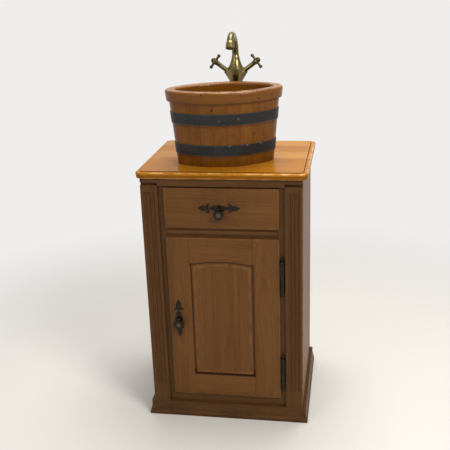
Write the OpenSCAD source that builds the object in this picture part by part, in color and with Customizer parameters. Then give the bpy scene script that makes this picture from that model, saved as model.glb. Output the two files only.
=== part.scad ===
// Oak washstand: a small cupboard with one drawer and one arched-panel door, an oval staved tub
// as its basin, and a tall brass mixer tap with two cross handles standing behind the tub.
// Millimetres. Z is up and the front faces -Y. The origin is on the floor, under the middle of
// the whole piece. Inside the modules y = 0 is the face of the front frame, and stand_back()
// carries that face to its place in the frame of the whole piece.

/* [Heights, from the floor up] */
// Height of the plinth
plinth_h = 48; // [40:1:90]
// Rail showing between the plinth and the door
foot_gap = 31; // [10:1:40]
// Height of the door over its lip
door_h = 531; // [440:1:620]
// Rail showing between the door and the drawer front
rail_gap = 30; // [26:1:50]
// Height of the drawer front over its lip
drawer_h = 123; // [100:1:150]
// Gap between the drawer front and the frieze
frieze_gap = 5; // [3:0.5:10]
// Height of the frieze under the worktop
frieze_h = 23; // [14:1:40]

/* [Carcass] */
// Width across the side panels
carcass_w = 476; // [474:1:500]
// Air left behind the carcass for the wall's skirting, under the worktop's back edge
wall_air = 4; // [0:1:20]
// Thickness of the side panels and the bottom board
panel_t = 18; // [15:0.5:24]
// Thickness of the front frame
frame_t = 22; // [18:0.5:28]
// Thickness of the back panel
back_t = 8; // [6:0.5:12]
// How far the frieze stands out from the front frame
frieze_proud = 8; // [4:0.5:12]
// Height of the frieze above the fluted strips
cap_h = 13; // [8:1:14]
// Recess between the fluted strips and the frieze
cap_gap = 8; // [4:1:10]
// Height of the bottom rail behind the plinth and the door's lip
bottom_rail_h = 60; // [50:1:70]

/* [Worktop] */
// Width of the worktop
top_w = 508; // [508:1:620]
// Depth of the worktop, front to back
top_d = 416; // [405:1:520]
// Thickness of the worktop
top_t = 20; // [18:0.5:35]
// Overhang of the worktop in front of the front frame
top_over = 16; // [12:1:40]
// Radius of the two front corners, seen from above
top_corner_r = 28; // [20:1:40]
// Width of the moulding along the worktop's upper edge
thumb_w = 15; // [12:0.5:18]
// Radius of that moulding's nose
thumb_r = 8; // [6:0.5:9]
// Drop from the worktop's field to the moulding
thumb_drop = 1.5; // [1:0.25:2.5]
// Width and depth of the groove between the field and the moulding
quirk = 2; // [1:0.25:3]
// How far the worktop's lower face stands back under the nose
fascia_in = 1.5; // [0.5:0.25:3]
// Radius along the worktop's lower edge
top_low_r = 2; // [1:0.5:4]

/* [Plinth] */
// How far the plinth's foot stands out
plinth_out = 16; // [14:0.5:20]
// How far the plinth's upper band stands out
plinth_band = 10; // [6:0.5:11]
// Height of the round-edged foot of the plinth moulding
plinth_foot_h = 13; // [8:1:18]
// Radius of the foot's upper edge
plinth_round = 3; // [1:0.5:4]
// Height of the slope above the foot
plinth_slope_h = 18; // [8:1:22]

/* [Fluted corners] */
// Air between the hinge barrels and the raised strip on each front corner
strip_air = 3; // [2:0.5:5]
// How far the strip stands out from the front frame
strip_proud = 9; // [6:0.5:12]
// Plain edge beside the outer two of a strip's three flutes
flute_edge = 9; // [6:0.5:12]
// Width of a flute as a share of the distance from one flute's middle to the next
flute_share = 0.75; // [0.6:0.05:0.8]
// Depth of each flute
flute_depth = 3.5; // [2:0.25:3.5]
// Plain head above the flutes
flute_head = 19; // [8:1:40]
// Plain foot below the flutes
flute_foot = 57; // [40:1:70]
// Height of the block at the foot of each strip
base_h = 26; // [16:1:34]
// How far that block stands out from its strip
base_out = 1.5; // [1:0.5:4]

/* [Fronts] */
// Width of the door and the drawer front over their lips
front_w = 340; // [320:1:342]
// How far each lip laps over the frame
lip_over = 5; // [3:0.5:8]
// Thickness of the lip
lip_t = 10; // [7:0.5:14]
// Thickness behind the lip, inside the frame
rebate_t = 11; // [8:0.5:16]
// Air behind the lip
lip_gap = 0.4; // [0.2:0.1:1]
// Air round the part that enters the frame
rebate_gap = 2.5; // [2:0.25:4]
// Width of the bevel round each front
bevel_w = 8; // [2:0.5:9]
// Depth of the bevel round each front
bevel_d = 3; // [1:0.5:4]

/* [Door] */
// Width of the door's left stile, which carries the pull
stile_left_w = 70; // [60:1:90]
// Width of the door's right stile, which carries the hinges
stile_right_w = 80; // [60:1:90]
// Height of the door's bottom rail
door_foot_h = 72; // [60:1:120]
// Height of the door's top rail at its shoulders
door_head_h = 85; // [45:1:95]
// Width of each straight shoulder beside the arch
shoulder_w = 14; // [10:1:30]
// Rise of the arch above the shoulders
arch_rise = 8; // [5:0.5:25]
// Width of the moulding round the panel
sight_w = 7; // [4:0.5:9]
// Depth of the moulding round the panel
sight_d = 5; // [3:0.5:6]
// Thickness of the panel's tongue
tongue_t = 5; // [4:0.25:7]
// Depth of the groove that holds the tongue
groove_d = 8; // [6:0.5:10]
// Play of the tongue in its groove
groove_play = 0.25; // [0.1:0.05:0.5]
// Thickness of the panel's raised field in front of the tongue
field_t = 4; // [2:0.25:5]
// Width of the bevel round the raised field
field_bevel = 11; // [7:0.5:24]
// How far the door opens, degrees
door_swing = 110; // [0:5:110]

/* [Drawer] */
// Depth of the drawer box behind its front
drawer_box_d = 110; // [80:1:112]
// Height of the drawer's sides
drawer_side_h = 85; // [60:1:95]
// Thickness of the drawer's sides and back
drawer_side_t = 10; // [8:0.5:14]
// Thickness of the drawer's bottom
drawer_bottom_t = 5; // [4:0.5:8]
// Height of the bottom above the sides' lower edges
drawer_bottom_lift = 6; // [4:0.5:12]
// Height of the drawer's sides above the lower edge of the frame's opening
drawer_rise = 3; // [2:0.5:6]
// Air between a drawer side and the frame beside it
drawer_air = 5; // [3:0.5:8]
// Air between the drawer's sides and their runners
runner_air = 0.3; // [0.2:0.1:0.5]
// Thickness of the runners
runner_t = 14; // [10:1:20]
// Height of the guide beside the drawer
guide_h = 16; // [10:1:24]
// Thickness of the guide
guide_t = 12; // [8:1:18]

/* [Pulls] */
// Length of each pierced back plate
plate_l = 124; // [110:1:150]
// Thickness of the back plates
plate_t = 2.2; // [1.5:0.1:3]
// Width of the bar that runs along a plate
plate_bar_w = 7; // [4:0.5:7]
// Radius of the boss in the middle of a plate
boss_r = 11; // [8:0.5:12]
// Distance of the two pierced beads from the middle
bead_at = 15; // [13:0.5:19]
// Radius of the two pierced beads
bead_r = 7.5; // [5:0.5:8]
// Radius of the holes in the beads
bead_hole_r = 2; // [1:0.25:3]
// Length of each swept leaf
barb_l = 19; // [14:0.5:22]
// Width of each swept leaf
barb_w = 7.5; // [4:0.5:8]
// Distance of the swept leaves from the plate's tip
barb_in = 28; // [24:0.5:32]
// Distance of the swept leaves from the plate's middle line
barb_out = 7; // [5:0.5:9]
// Angle of the swept leaves to the plate, degrees
barb_turn = 52; // [35:1:70]
// Distance of the end ring from the plate's tip
ring_in = 16; // [14:0.5:20]
// Radius of the end rings
ring_r = 7.6; // [6:0.2:9]
// Radius of the holes in the end rings
ring_hole_r = 2.8; // [2:0.2:4]
// Length of each pointed tip
tip_l = 20; // [16:0.5:26]
// Width of each pointed tip
tip_w = 9.5; // [6:0.5:11]
// Distance of the drop's pivot from its plate
drop_reach = 8.5; // [8:0.5:12]
// Length of a drop below its pivot
drop_l = 33; // [28:1:45]
// Greatest width of a drop
drop_w = 32; // [20:1:36]
// Thickness of a drop in its middle
drop_t = 7; // [7:0.5:8]
// Thickness of a drop at its edges
drop_edge_t = 2.4; // [1.5:0.1:4]
// Radius of the eye that a drop hangs by
eye_r = 3.4; // [3:0.1:3.5]
// Width of the eye
eye_w = 6.4; // [5:0.2:8]
// Thickness of the ears beside the eye
ear_t = 2.2; // [1.5:0.1:3]
// Air between the eye and each ear
ear_air = 0.4; // [0.2:0.1:0.6]
// Height of the drawer's plate above the drawer front's lower edge
drawer_plate_up = 64; // [50:1:85]
// Sideways place of the drawer's plate
drawer_plate_x = -5; // [-20:1:20]
// Height of the middle of the door's plate above the door's lower edge
door_plate_up = 266; // [200:1:330]
// Distance from the door's free edge to the middle of its plate
door_plate_in = 28; // [20:0.5:40]
// Radius of the pins that the drops hang on
drop_pin_r = 1.5; // [1:0.25:2]

/* [Hinges] */
// Radius of the hinge barrels
barrel_r = 6.5; // [4.5:0.25:7]
// Length of each half barrel
barrel_l = 50; // [36:1:60]
// Length of the turned finials
finial_l = 13; // [8:0.5:16]
// Distance of the hinge pins in front of the front frame
pin_out = 8; // [7:0.25:10]
// Air between a barrel and the door's edge
barrel_air = 1; // [0.5:0.25:2]
// Radius of the hinge pins
pin_r = 3; // [2:0.25:3.5]
// Running clearance of every pin and spindle
pin_play = 0.05; // [0.02:0.01:0.1]
// Air between the two halves of a hinge
knuckle_gap = 0.3; // [0.2:0.1:0.6]
// Distance of the upper hinge's middle below the door's upper edge
upper_hinge_down = 118; // [75:1:160]
// Height of the lower hinge's middle above the door's lower edge
lower_hinge_up = 90; // [75:1:160]
// Thickness of the hinge leaves
leaf_t = 2; // [1.5:0.25:2.5]

/* [Tub basin] */
// Sideways place of the tub's middle
tub_x = -3; // [-30:1:30]
// Distance of the tub's middle behind the front frame
tub_y = 134; // [131:1:150]
// Turn of the tub on the worktop, its right end towards the wall, degrees
tub_turn = 12; // [0:1:15]
// Length of the tub's foot, side to side
tub_foot_l = 290; // [260:1:320]
// Radius of the tub's ends at its foot
tub_end_r = 38; // [34:1:62]
// Height of the staves
stave_h = 190; // [170:1:230]
// Thickness of the staves
stave_t = 16; // [12:0.5:20]
// How far the staves lean out from foot to head
stave_lean = 18; // [10:1:35]
// Height of the rim that caps the staves
rim_h = 32; // [20:1:45]
// How far the rim stands out from the heads of the staves
rim_out = 8; // [3:0.5:12]
// How far the rim's outside leans out from its foot to its top
rim_flare = 3; // [0:0.5:6]
// How far the rim stands in over the inside
rim_in = 3; // [0:0.5:8]
// Rounding of the rim's upper edges
rim_round = 7; // [3:0.5:9]
// Staves in each rounded end
end_staves = 2; // [2:1:5]
// Staves in each long side
side_staves = 8; // [5:1:12]
// Air between neighbouring staves
stave_gap = 0.3; // [0.2:0.1:0.6]
// Height of each iron hoop
hoop_h = 32; // [18:1:36]
// Thickness of the hoops
hoop_t = 1.8; // [1.2:0.1:3]
// Height of the lower hoop above the worktop
lower_hoop_up = 34; // [15:1:60]
// Height of the upper hoop above the worktop
upper_hoop_up = 126; // [95:1:150]
// Air under the basin's floor
floor_up = 8; // [3:1:20]
// Thickness of the basin's floor
floor_t = 14; // [10:0.5:20]
// Width of the floor's middle board
floor_board_w = 62; // [50:1:80]
// Wood left in a stave behind the groove for the floor
groove_wall = 11; // [8:0.5:13]
// Fit of the hoops, the floor and the tub's foot
tub_fit = 0.2; // [0.1:0.05:0.3]

/* [Waste] */
// Distance of the waste behind the tub's middle
waste_back = 24; // [22:1:30]
// Radius of the waste's flange in the basin
waste_flange_r = 31; // [26:1:36]
// Thickness of the waste's flange
waste_flange_t = 3; // [2:0.5:4]
// Radius of the waste's threaded shank
shank_r = 20; // [17:0.5:21]
// Radius of the waterway through the waste
waterway_r = 15; // [12:0.5:16]
// Length of the shank below the worktop
shank_below = 34; // [28:1:40]
// Air round the shank where it passes wood
shank_air = 1.5; // [1:0.25:3]
// Radius of the bottle of the trap
trap_r = 30; // [26:1:32]
// Height of the bottle of the trap
trap_h = 72; // [60:1:90]
// Length of the trap's socket for the waste pipe
trap_socket_l = 16; // [12:1:24]
// Radius of the waste pipe
pipe_r = 16; // [14:0.5:16]
// Distance of the waste pipe's end in front of the back panel
pipe_short = 7; // [5:0.5:12]
// Width of the service opening in the back panel
service_w = 150; // [120:1:200]
// Height of the service opening in the back panel
service_h = 170; // [130:1:180]

/* [Tap] */
// Sideways place of the tap
tap_x = 6; // [-20:1:20]
// Distance of the tap behind the front frame
tap_y = 320; // [312:1:345]
// Radius of the tap's foot flange
tap_flange_r = 25; // [22:0.5:28]
// Height of the tap's foot flange
tap_flange_h = 8; // [5:0.5:12]
// Radius of the tap's pillar
pillar_r = 15.5; // [13:0.5:18]
// Height of the pillar, up to where its body widens
pillar_h = 206; // [190:1:240]
// Height of the tap's body, from the pillar to the neck
tap_body_h = 80; // [70:1:95]
// Greatest radius of the tap's bulb, where the arms leave it
tap_body_r = 26; // [24:0.5:28]
// Radius of the spout where it leaves the body
neck_r = 12.5; // [11:0.5:14]
// Radius of the spout where it bends
spout_r = 10.5; // [9:0.5:11]
// Height of the straight part of the spout
neck_h = 6; // [4:1:60]
// Radius of the spout's rising bend
rise_bend_r = 66; // [55:1:90]
// Radius of the spout's falling bend
fall_bend_r = 40; // [34:1:60]
// How far the falling bend turns, degrees
fall_turn = 60; // [50:1:85]
// Radius of the outlet
outlet_r = 13; // [12:0.5:15]
// Length of the outlet
outlet_l = 16; // [12:1:24]
// Rise of the two valve arms, degrees
arm_rise = 37; // [30:1:50]
// Height above the pillar where the arms' axes cross
arm_cross_h = 17; // [14:0.5:20]
// Radius of an arm's socket at its root, inside the body
socket_r = 23; // [19:0.5:23]
// Radius of an arm's socket at its end
socket_end_r = 10.5; // [8.5:0.5:12]
// Distance from the tap's axis to the end of a socket
socket_l = 38; // [34:1:50]
// Radius of the bonnet that carries a handle
bonnet_r = 7.25; // [6:0.25:8]
// Distance from the tap's axis to the end of a bonnet
bonnet_l = 72; // [68:1:90]
// Radius of the valve spindles
spindle_r = 5; // [4:0.25:5.5]
// Distance across a cross handle
handle_w = 54; // [50:1:64]
// Length of a handle's hub
hub_l = 19; // [17:0.5:24]
// Radius of a handle's hub
hub_r = 8.5; // [7.5:0.25:10]
// Radius of a handle's spokes
spoke_r = 3.8; // [2.5:0.1:4.5]
// Radius of the knobs that end the spokes
spoke_knob_r = 5.4; // [4:0.1:6.4]
// Radius of the supply pipes
tail_r = 5; // [4:0.25:5]
// Distance of each supply pipe from the tap's middle plane
tail_out = 10.5; // [10:0.25:12]
// Depth of the supply pipes' ends below the worktop
tail_below = 46; // [40:1:55]
// Radius in which the supply pipes turn to the back
tail_bend_r = 20; // [16:1:22]
// Distance of the supply pipes behind the tap's axis
tail_back = 3; // [0:0.5:4]
// Radius of the hole for the tap
tap_hole_r = 17.5; // [16.5:0.25:19]

/* [Hidden] */

// Levels
door_z = plinth_h + foot_gap;
door_top_z = door_z + door_h;
drawer_z = door_top_z + rail_gap;
drawer_top_z = drawer_z + drawer_h;
frieze_z = drawer_top_z + frieze_gap;
carcass_h = frieze_z + frieze_h;
top_z = carcass_h + top_t;
bottom_top_z = door_z + lip_over;
rim_z = top_z + stave_h;
basin_floor_z = top_z + floor_up;

// Widths and depths
carcass_d = top_d - top_over - wall_air;
half_w = carcass_w / 2;
open_half = front_w / 2 - lip_over;
inner_half = half_w - panel_t;
strip_x = front_w / 2 + barrel_air + 2 * barrel_r + strip_air;
strip_w = half_w - strip_x;
flute_step = (strip_w - 2 * flute_edge) / (2 + flute_share);
flute_w = flute_share * flute_step;
strip_top_z = carcass_h - cap_h - cap_gap;
lip_y = -lip_gap - lip_t;
rebate_half = open_half - rebate_gap;
drawer_half = open_half - drawer_air;
drawer_back_y = rebate_t - lip_gap + drawer_box_d;
top_back_y = top_d - top_over;
back_y = carcass_d - back_t;

// Panel opening of the door
sight_left = -front_w / 2 + stile_left_w;
sight_right = front_w / 2 - stile_right_w;
sight_half = (sight_right - sight_left) / 2;
panel_x = (sight_left + sight_right) / 2;
sight_low_z = door_z + door_foot_h;
drawer_low_z = drawer_z + lip_over + drawer_rise;
sight_top_z = door_top_z - door_head_h;
arch_half = sight_half - shoulder_w;
arch_r = (pow(arch_half, 2) + pow(arch_rise, 2)) / (2 * arch_rise);
arch_z = sight_top_z + arch_rise - arch_r;
tongue_y = lip_y + sight_d + field_t;

// Pulls
drawer_plate_z = drawer_z + drawer_plate_up;
door_plate_x = -front_w / 2 + door_plate_in;
door_plate_z = door_z + door_plate_up;
plate_y = lip_y - plate_t;
drop_y = plate_y - drop_reach;

// Hinges
pin_x = front_w / 2 + barrel_air + barrel_r;

// The tub's outline has four quarter arcs: two ends about (+-end_c, 0), two sides about (0, -+end_c)
end_c = tub_foot_l / 2 - tub_end_r;
side_r = tub_end_r + end_c * sqrt(2);
lean = stave_lean / stave_h;
waste_y = tub_y + waste_back;
waste_nut_r = 27;
waste_nut_t = 11;
shank_low_z = carcass_h - shank_below;
trap_nut_r = 24;
trap_nut_h = 18;
trap_neck_h = 42;
trap_top_z = shank_low_z - trap_neck_h;
pipe_z = trap_top_z - pipe_r - 6;
pipe_start_y = waste_y + trap_r + trap_socket_l + tub_fit;
pipe_end_y = back_y - pipe_short;

// Tap levels
pillar_z = top_z + pillar_h;
neck_z = pillar_z + tap_body_h;
arm_z = pillar_z + arm_cross_h;

// Extent of the whole piece, front and back of the front frame's face
front_reach = -drop_y + drop_t / 2;
face_y = (front_reach - top_back_y) / 2;

oak = [0.55, 0.36, 0.20];
oak_dark = [0.45, 0.29, 0.16];
oak_honey = [0.80, 0.54, 0.24];
oak_tub = [0.66, 0.38, 0.17];
iron = [0.16, 0.17, 0.19];
old_brass = [0.47, 0.40, 0.24];
dark_metal = [0.13, 0.11, 0.10];
white_plastic = [0.90, 0.90, 0.88];
copper = [0.72, 0.43, 0.28];

module stand_back() translate([0, face_y, 0]) children();

// A board from its low corner to its high corner
module board(low, high) translate(low) cube(high - low);

// A prism along X from a profile in (y, z)
module along_x(x0, x1) translate([x0, 0, 0]) rotate([90, 0, 90]) linear_extrude(x1 - x0) children();

// A prism along Z from a plan in (x, y)
module along_z(z0, z1) translate([0, 0, z0]) linear_extrude(z1 - z0) children();

// Worktop edge: x runs outwards from the core, y runs up. A groove parts the field from the nose
module edge_profile() {
    field = top_corner_r - thumb_w;
    shelf = top_t - thumb_drop;
    nose_x = top_corner_r - thumb_r;
    nose_z = shelf - thumb_r;
    face = top_corner_r - fascia_in;
    square([field, top_t]);
    polygon([[0, 0], [nose_x, 0], [nose_x, shelf], [field + quirk, shelf],
        [field, shelf - quirk], [0, shelf - quirk]]);
    intersection() {
        translate([nose_x, nose_z]) circle(thumb_r, $fn = 64);
        translate([0, nose_z]) square([top_corner_r + 1, thumb_r + 1]);
    }
    square([face - top_low_r, nose_z]);
    translate([0, top_low_r]) square([face, nose_z - top_low_r]);
    translate([face - top_low_r, top_low_r]) circle(top_low_r, $fn = 48);
}

module worktop_plate() {
    core = top_w / 2 - top_corner_r;
    front_len = top_w - 2 * top_corner_r;
    side_len = top_d - top_corner_r;
    translate([0, -top_over + top_corner_r, carcass_h]) {
        for (side = [0, 1]) mirror([side, 0, 0]) {
            translate([core, 0, 0]) rotate(-90) rotate_extrude(angle = 90, $fn = 96) edge_profile();
            translate([core, side_len, 0]) rotate([90, 0, 0]) linear_extrude(side_len) edge_profile();
        }
        translate([core, 0, 0]) rotate([90, 0, -90]) linear_extrude(front_len) edge_profile();
        translate([-core, 0, 0]) cube([front_len, side_len, top_t]);
    }
}

module worktop() color(oak_honey) stand_back() difference() {
    worktop_plate();
    translate([tub_x, waste_y, carcass_h - 1]) cylinder(r = shank_r + shank_air, h = top_t + 2, $fn = 96);
    translate([tap_x, tap_y, carcass_h - 1]) cylinder(r = tap_hole_r, h = top_t + 2, $fn = 96);
}

// The frieze comes down between the fluted strips and leaves a recess above their tops
module frieze_rail() color(oak_dark) stand_back() {
    board([-open_half, 0, drawer_top_z - lip_over], [open_half, frame_t, carcass_h]);
    board([-half_w, -frieze_proud, carcass_h - cap_h], [half_w, 0, carcass_h]);
    board([-strip_x, -frieze_proud, frieze_z], [strip_x, 0, carcass_h]);
}

module side_panel(side) color(oak) stand_back() mirror([side < 0 ? 1 : 0, 0, 0])
    board([inner_half, frame_t, 0], [half_w, carcass_d, carcass_h]);

module side_panel_left() side_panel(-1);
module side_panel_right() side_panel(1);

module back_panel() color(oak_dark) stand_back() difference() {
    board([-inner_half, back_y, bottom_top_z - panel_t], [inner_half, carcass_d, carcass_h]);
    board([tub_x - service_w / 2, back_y - 1, pipe_z - service_h / 2],
          [tub_x + service_w / 2, carcass_d + 1, pipe_z + service_h / 2]);
}

module bottom_board() color(oak) stand_back()
    board([-inner_half, frame_t, bottom_top_z - panel_t], [inner_half, back_y, bottom_top_z]);

// A round-ended groove, cut with its bottom flute_depth behind the strip's face
module flute(x, z0, z1) {
    r = (pow(flute_w / 2, 2) + pow(flute_depth, 2)) / (2 * flute_depth);
    inset = flute_w / 2;
    translate([x, -strip_proud + flute_depth - r, z0 + inset]) {
        cylinder(r = r, h = z1 - z0 - 2 * inset, $fn = 48);
        sphere(r = r, $fn = 48);
        translate([0, 0, z1 - z0 - 2 * inset]) sphere(r = r, $fn = 48);
    }
}

module corner_stile(side) color(oak) stand_back() mirror([side < 0 ? 1 : 0, 0, 0]) difference() {
    union() {
        board([open_half, 0, 0], [half_w, frame_t, carcass_h]);
        board([strip_x, -strip_proud, plinth_h], [half_w, 0, strip_top_z]);
        base_y = -strip_proud - base_out;
        base_z = plinth_h + base_h;
        along_x(strip_x, half_w) polygon([[0, plinth_h], [0, base_z], [-strip_proud, base_z],
            [base_y, base_z - base_out], [base_y, plinth_h]]);
    }
    for (i = [-1:1])
        flute(strip_x + strip_w / 2 + i * flute_step, plinth_h + flute_foot, strip_top_z - flute_head);
}

module corner_stile_left() corner_stile(-1);
module corner_stile_right() corner_stile(1);

module drawer_rail() color(oak_dark) stand_back() {
    bead_r = rail_gap * 0.3;
    board([-open_half, 0, door_top_z - lip_over], [open_half, frame_t, drawer_z + lip_over]);
    intersection() {
        translate([-open_half, bead_r * 0.35, door_top_z + rail_gap / 2])
            rotate([0, 90, 0]) cylinder(r = bead_r, h = 2 * open_half, $fn = 64);
        board([-half_w, -bead_r, 0], [half_w, 1, carcass_h]);
    }
}

module bottom_rail() color(oak_dark) stand_back()
    board([-open_half, 0, bottom_top_z - bottom_rail_h], [open_half, frame_t, bottom_top_z]);

// Plinth moulding: x runs outwards, y runs up
module plinth_profile() {
    slope_top = plinth_foot_h + plinth_slope_h;
    square([plinth_band, plinth_h]);
    polygon([[0, plinth_foot_h - 1], [plinth_out - 2, plinth_foot_h - 1], [plinth_out - 2, plinth_foot_h],
        [plinth_band, slope_top], [0, slope_top]]);
    square([plinth_out - plinth_round, plinth_foot_h]);
    square([plinth_out, plinth_foot_h - plinth_round]);
    translate([plinth_out - plinth_round, plinth_foot_h - plinth_round]) circle(plinth_round, $fn = 48);
}

module plinth_front() color(oak_dark) stand_back() intersection() {
    translate([-top_w, 0, 0]) rotate([90, 0, 90]) linear_extrude(2 * top_w) mirror([1, 0]) plinth_profile();
    along_z(-1, plinth_h + 1) polygon([[-half_w, 0], [half_w, 0],
        [half_w + plinth_out, -plinth_out], [-half_w - plinth_out, -plinth_out]]);
}

module plinth_side(side) color(oak_dark) stand_back() mirror([side < 0 ? 1 : 0, 0, 0]) intersection() {
    translate([half_w, carcass_d, 0]) rotate([90, 0, 0]) linear_extrude(2 * carcass_d) plinth_profile();
    along_z(-1, plinth_h + 1) polygon([[half_w, 0], [half_w + plinth_out, -plinth_out],
        [half_w + plinth_out, carcass_d], [half_w, carcass_d]]);
}

module plinth_left() plinth_side(-1);
module plinth_right() plinth_side(1);

module drawer_runner(side) color(oak_dark) stand_back() mirror([side < 0 ? 1 : 0, 0, 0]) {
    rest_z = drawer_low_z - runner_air;
    guide_x = drawer_half + runner_air + 1;
    board([drawer_half - drawer_side_t, frame_t, rest_z - runner_t], [inner_half, back_y, rest_z]);
    board([guide_x, frame_t, rest_z], [guide_x + guide_t, back_y, rest_z + guide_h]);
}

module drawer_runner_left() drawer_runner(-1);
module drawer_runner_right() drawer_runner(1);

// A board in the XZ plane whose front edges are bevelled all round
module bevelled_front(half, z0, z1, y_back, y_front) {
    intersection() {
        along_z(z0, z1) polygon([[-half, y_back], [half, y_back], [half, y_front + bevel_d],
            [half - bevel_w, y_front], [-half + bevel_w, y_front], [-half, y_front + bevel_d]]);
        along_x(-half, half) polygon([[y_back, z0], [y_back, z1], [y_front + bevel_d, z1],
            [y_front, z1 - bevel_w], [y_front, z0 + bevel_w], [y_front + bevel_d, z0]]);
    }
}

// A lipped front: the bevelled lip and the thinner part that enters the frame
module lipped_front(z0, z1) {
    bevelled_front(front_w / 2, z0, z1, -lip_gap, lip_y);
    board([-rebate_half, -lip_gap, z0 + lip_over + rebate_gap],
          [rebate_half, rebate_t - lip_gap, z1 - lip_over - rebate_gap]);
}

module drawer_front() color(oak) stand_back() lipped_front(drawer_z, drawer_top_z);

module drawer_side(side) color(oak_honey) stand_back() mirror([side < 0 ? 1 : 0, 0, 0])
    board([drawer_half - drawer_side_t, rebate_t - lip_gap, drawer_low_z],
          [drawer_half, drawer_back_y, drawer_low_z + drawer_side_h]);

module drawer_side_left() drawer_side(-1);
module drawer_side_right() drawer_side(1);

module drawer_back() color(oak_honey) stand_back()
    board([-(drawer_half - drawer_side_t), drawer_back_y - drawer_side_t, drawer_low_z],
          [drawer_half - drawer_side_t, drawer_back_y, drawer_low_z + drawer_side_h]);

module drawer_bottom() color(oak_honey) stand_back()
    board([-(drawer_half - drawer_side_t), rebate_t - lip_gap, drawer_low_z + drawer_bottom_lift],
          [drawer_half - drawer_side_t, drawer_back_y - drawer_side_t,
           drawer_low_z + drawer_bottom_lift + drawer_bottom_t]);

// The door's arched opening as a solid, grown by grow0 at depth y0 and by grow1 at depth y1
module arched_solid(y0, grow0, y1, grow1) {
    w0 = sight_half + grow0;
    w1 = sight_half + grow1;
    translate([panel_x, 0, 0]) intersection() {
        along_z(door_z, door_top_z) polygon([[-w0, y0], [w0, y0], [w1, y1], [-w1, y1]]);
        union() {
            along_x(-half_w, half_w) polygon([[y0, sight_low_z - grow0], [y0, sight_top_z + grow0],
                [y1, sight_top_z + grow1], [y1, sight_low_z - grow1]]);
            intersection() {
                translate([0, y0, arch_z]) rotate([-90, 0, 0])
                    cylinder(r1 = arch_r + grow0, r2 = arch_r + grow1, h = y1 - y0, $fn = 360);
                board([-half_w, y0 - 1, sight_low_z + door_foot_h], [half_w, y1 + 1, door_top_z]);
            }
        }
    }
}

// What is cut from the door's frame for the panel: the opening, its moulding and the groove
module panel_seat() {
    arched_solid(lip_y - 1, 0, rebate_t + 1, 0);
    arched_solid(lip_y - 1, sight_w * (sight_d + 1) / sight_d, lip_y + sight_d, 0);
    arched_solid(tongue_y - groove_play, groove_d, tongue_y + tongue_t + groove_play, groove_d);
}

module door_member(low, high) color(oak) stand_back() difference() {
    intersection() {
        lipped_front(door_z, door_top_z);
        board(low, high);
    }
    panel_seat();
}

module door_stile_left() door_member([-half_w, lip_y - 1, door_z], [sight_left, rebate_t, door_top_z]);
module door_stile_right() door_member([sight_right, lip_y - 1, door_z], [half_w, rebate_t, door_top_z]);
module door_top_rail()
    door_member([sight_left, lip_y - 1, sight_top_z - 1], [sight_right, rebate_t, door_top_z]);
module door_bottom_rail()
    door_member([sight_left, lip_y - 1, door_z], [sight_right, rebate_t, sight_low_z + 1]);

module door_panel() color(oak) stand_back() {
    arched_solid(tongue_y, groove_d - groove_play, tongue_y + tongue_t, groove_d - groove_play);
    arched_solid(tongue_y - field_t, -field_bevel - 1, tongue_y, -1);
}

// A pointed leaf along X, where two equal circles cross
module leaf(length, width) {
    r = (pow(length, 2) + pow(width, 2)) / (4 * width);
    intersection_for(side = [-1, 1]) translate([0, side * (r - width / 2)]) circle(r = r, $fn = 90);
}

// Pierced back plate, drawn along X about its middle boss
module plate_outline() {
    half = plate_l / 2;
    difference() {
        union() {
            circle(r = boss_r, $fn = 60);
            square([2 * (half - ring_in), plate_bar_w], center = true);
            for (side = [0, 1]) mirror([side, 0]) {
                translate([bead_at, 0]) circle(r = bead_r, $fn = 48);
                for (wing = [-1, 1]) translate([half - barb_in, wing * barb_out])
                    rotate(-wing * barb_turn) leaf(barb_l, barb_w);
                translate([half - ring_in, 0]) circle(r = ring_r, $fn = 48);
                translate([half - tip_l / 2, 0]) leaf(tip_l, tip_w);
            }
        }
        for (side = [0, 1]) mirror([side, 0]) {
            translate([bead_at, 0]) circle(r = bead_hole_r, $fn = 32);
            translate([half - ring_in, 0]) circle(r = ring_hole_r, $fn = 32);
        }
    }
}

// Back plate with its two ears and the pin across them; turned 90 degrees it stands upright
module pull_plate(x, z, turn) color(dark_metal) stand_back() {
    ear_in = eye_w / 2 + ear_air;
    translate([x, lip_y, z]) rotate([90, 0, 0]) rotate(turn) linear_extrude(plate_t) plate_outline();
    translate([x, 0, z]) {
        for (side = [0, 1]) mirror([side, 0, 0]) {
            board([ear_in, drop_y, -3], [ear_in + ear_t, plate_y, 3]);
            translate([ear_in, drop_y, 0]) rotate([0, 90, 0]) cylinder(r = 3, h = ear_t, $fn = 40);
        }
        translate([-ear_in, drop_y, 0]) rotate([0, 90, 0]) cylinder(r = drop_pin_r, h = 2 * ear_in, $fn = 40);
    }
}

// A drop's outline in (x, z): round at the top, pointed at the foot, hanging from (0, 0)
module drop_outline() {
    top_r = drop_w * 0.55;
    leaf_l = drop_l * 1.2;
    intersection() {
        translate([0, -eye_r - 1 - top_r]) circle(r = top_r, $fn = 90);
        translate([0, leaf_l / 2 - drop_l]) rotate(90) leaf(leaf_l, drop_w);
    }
}

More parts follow.
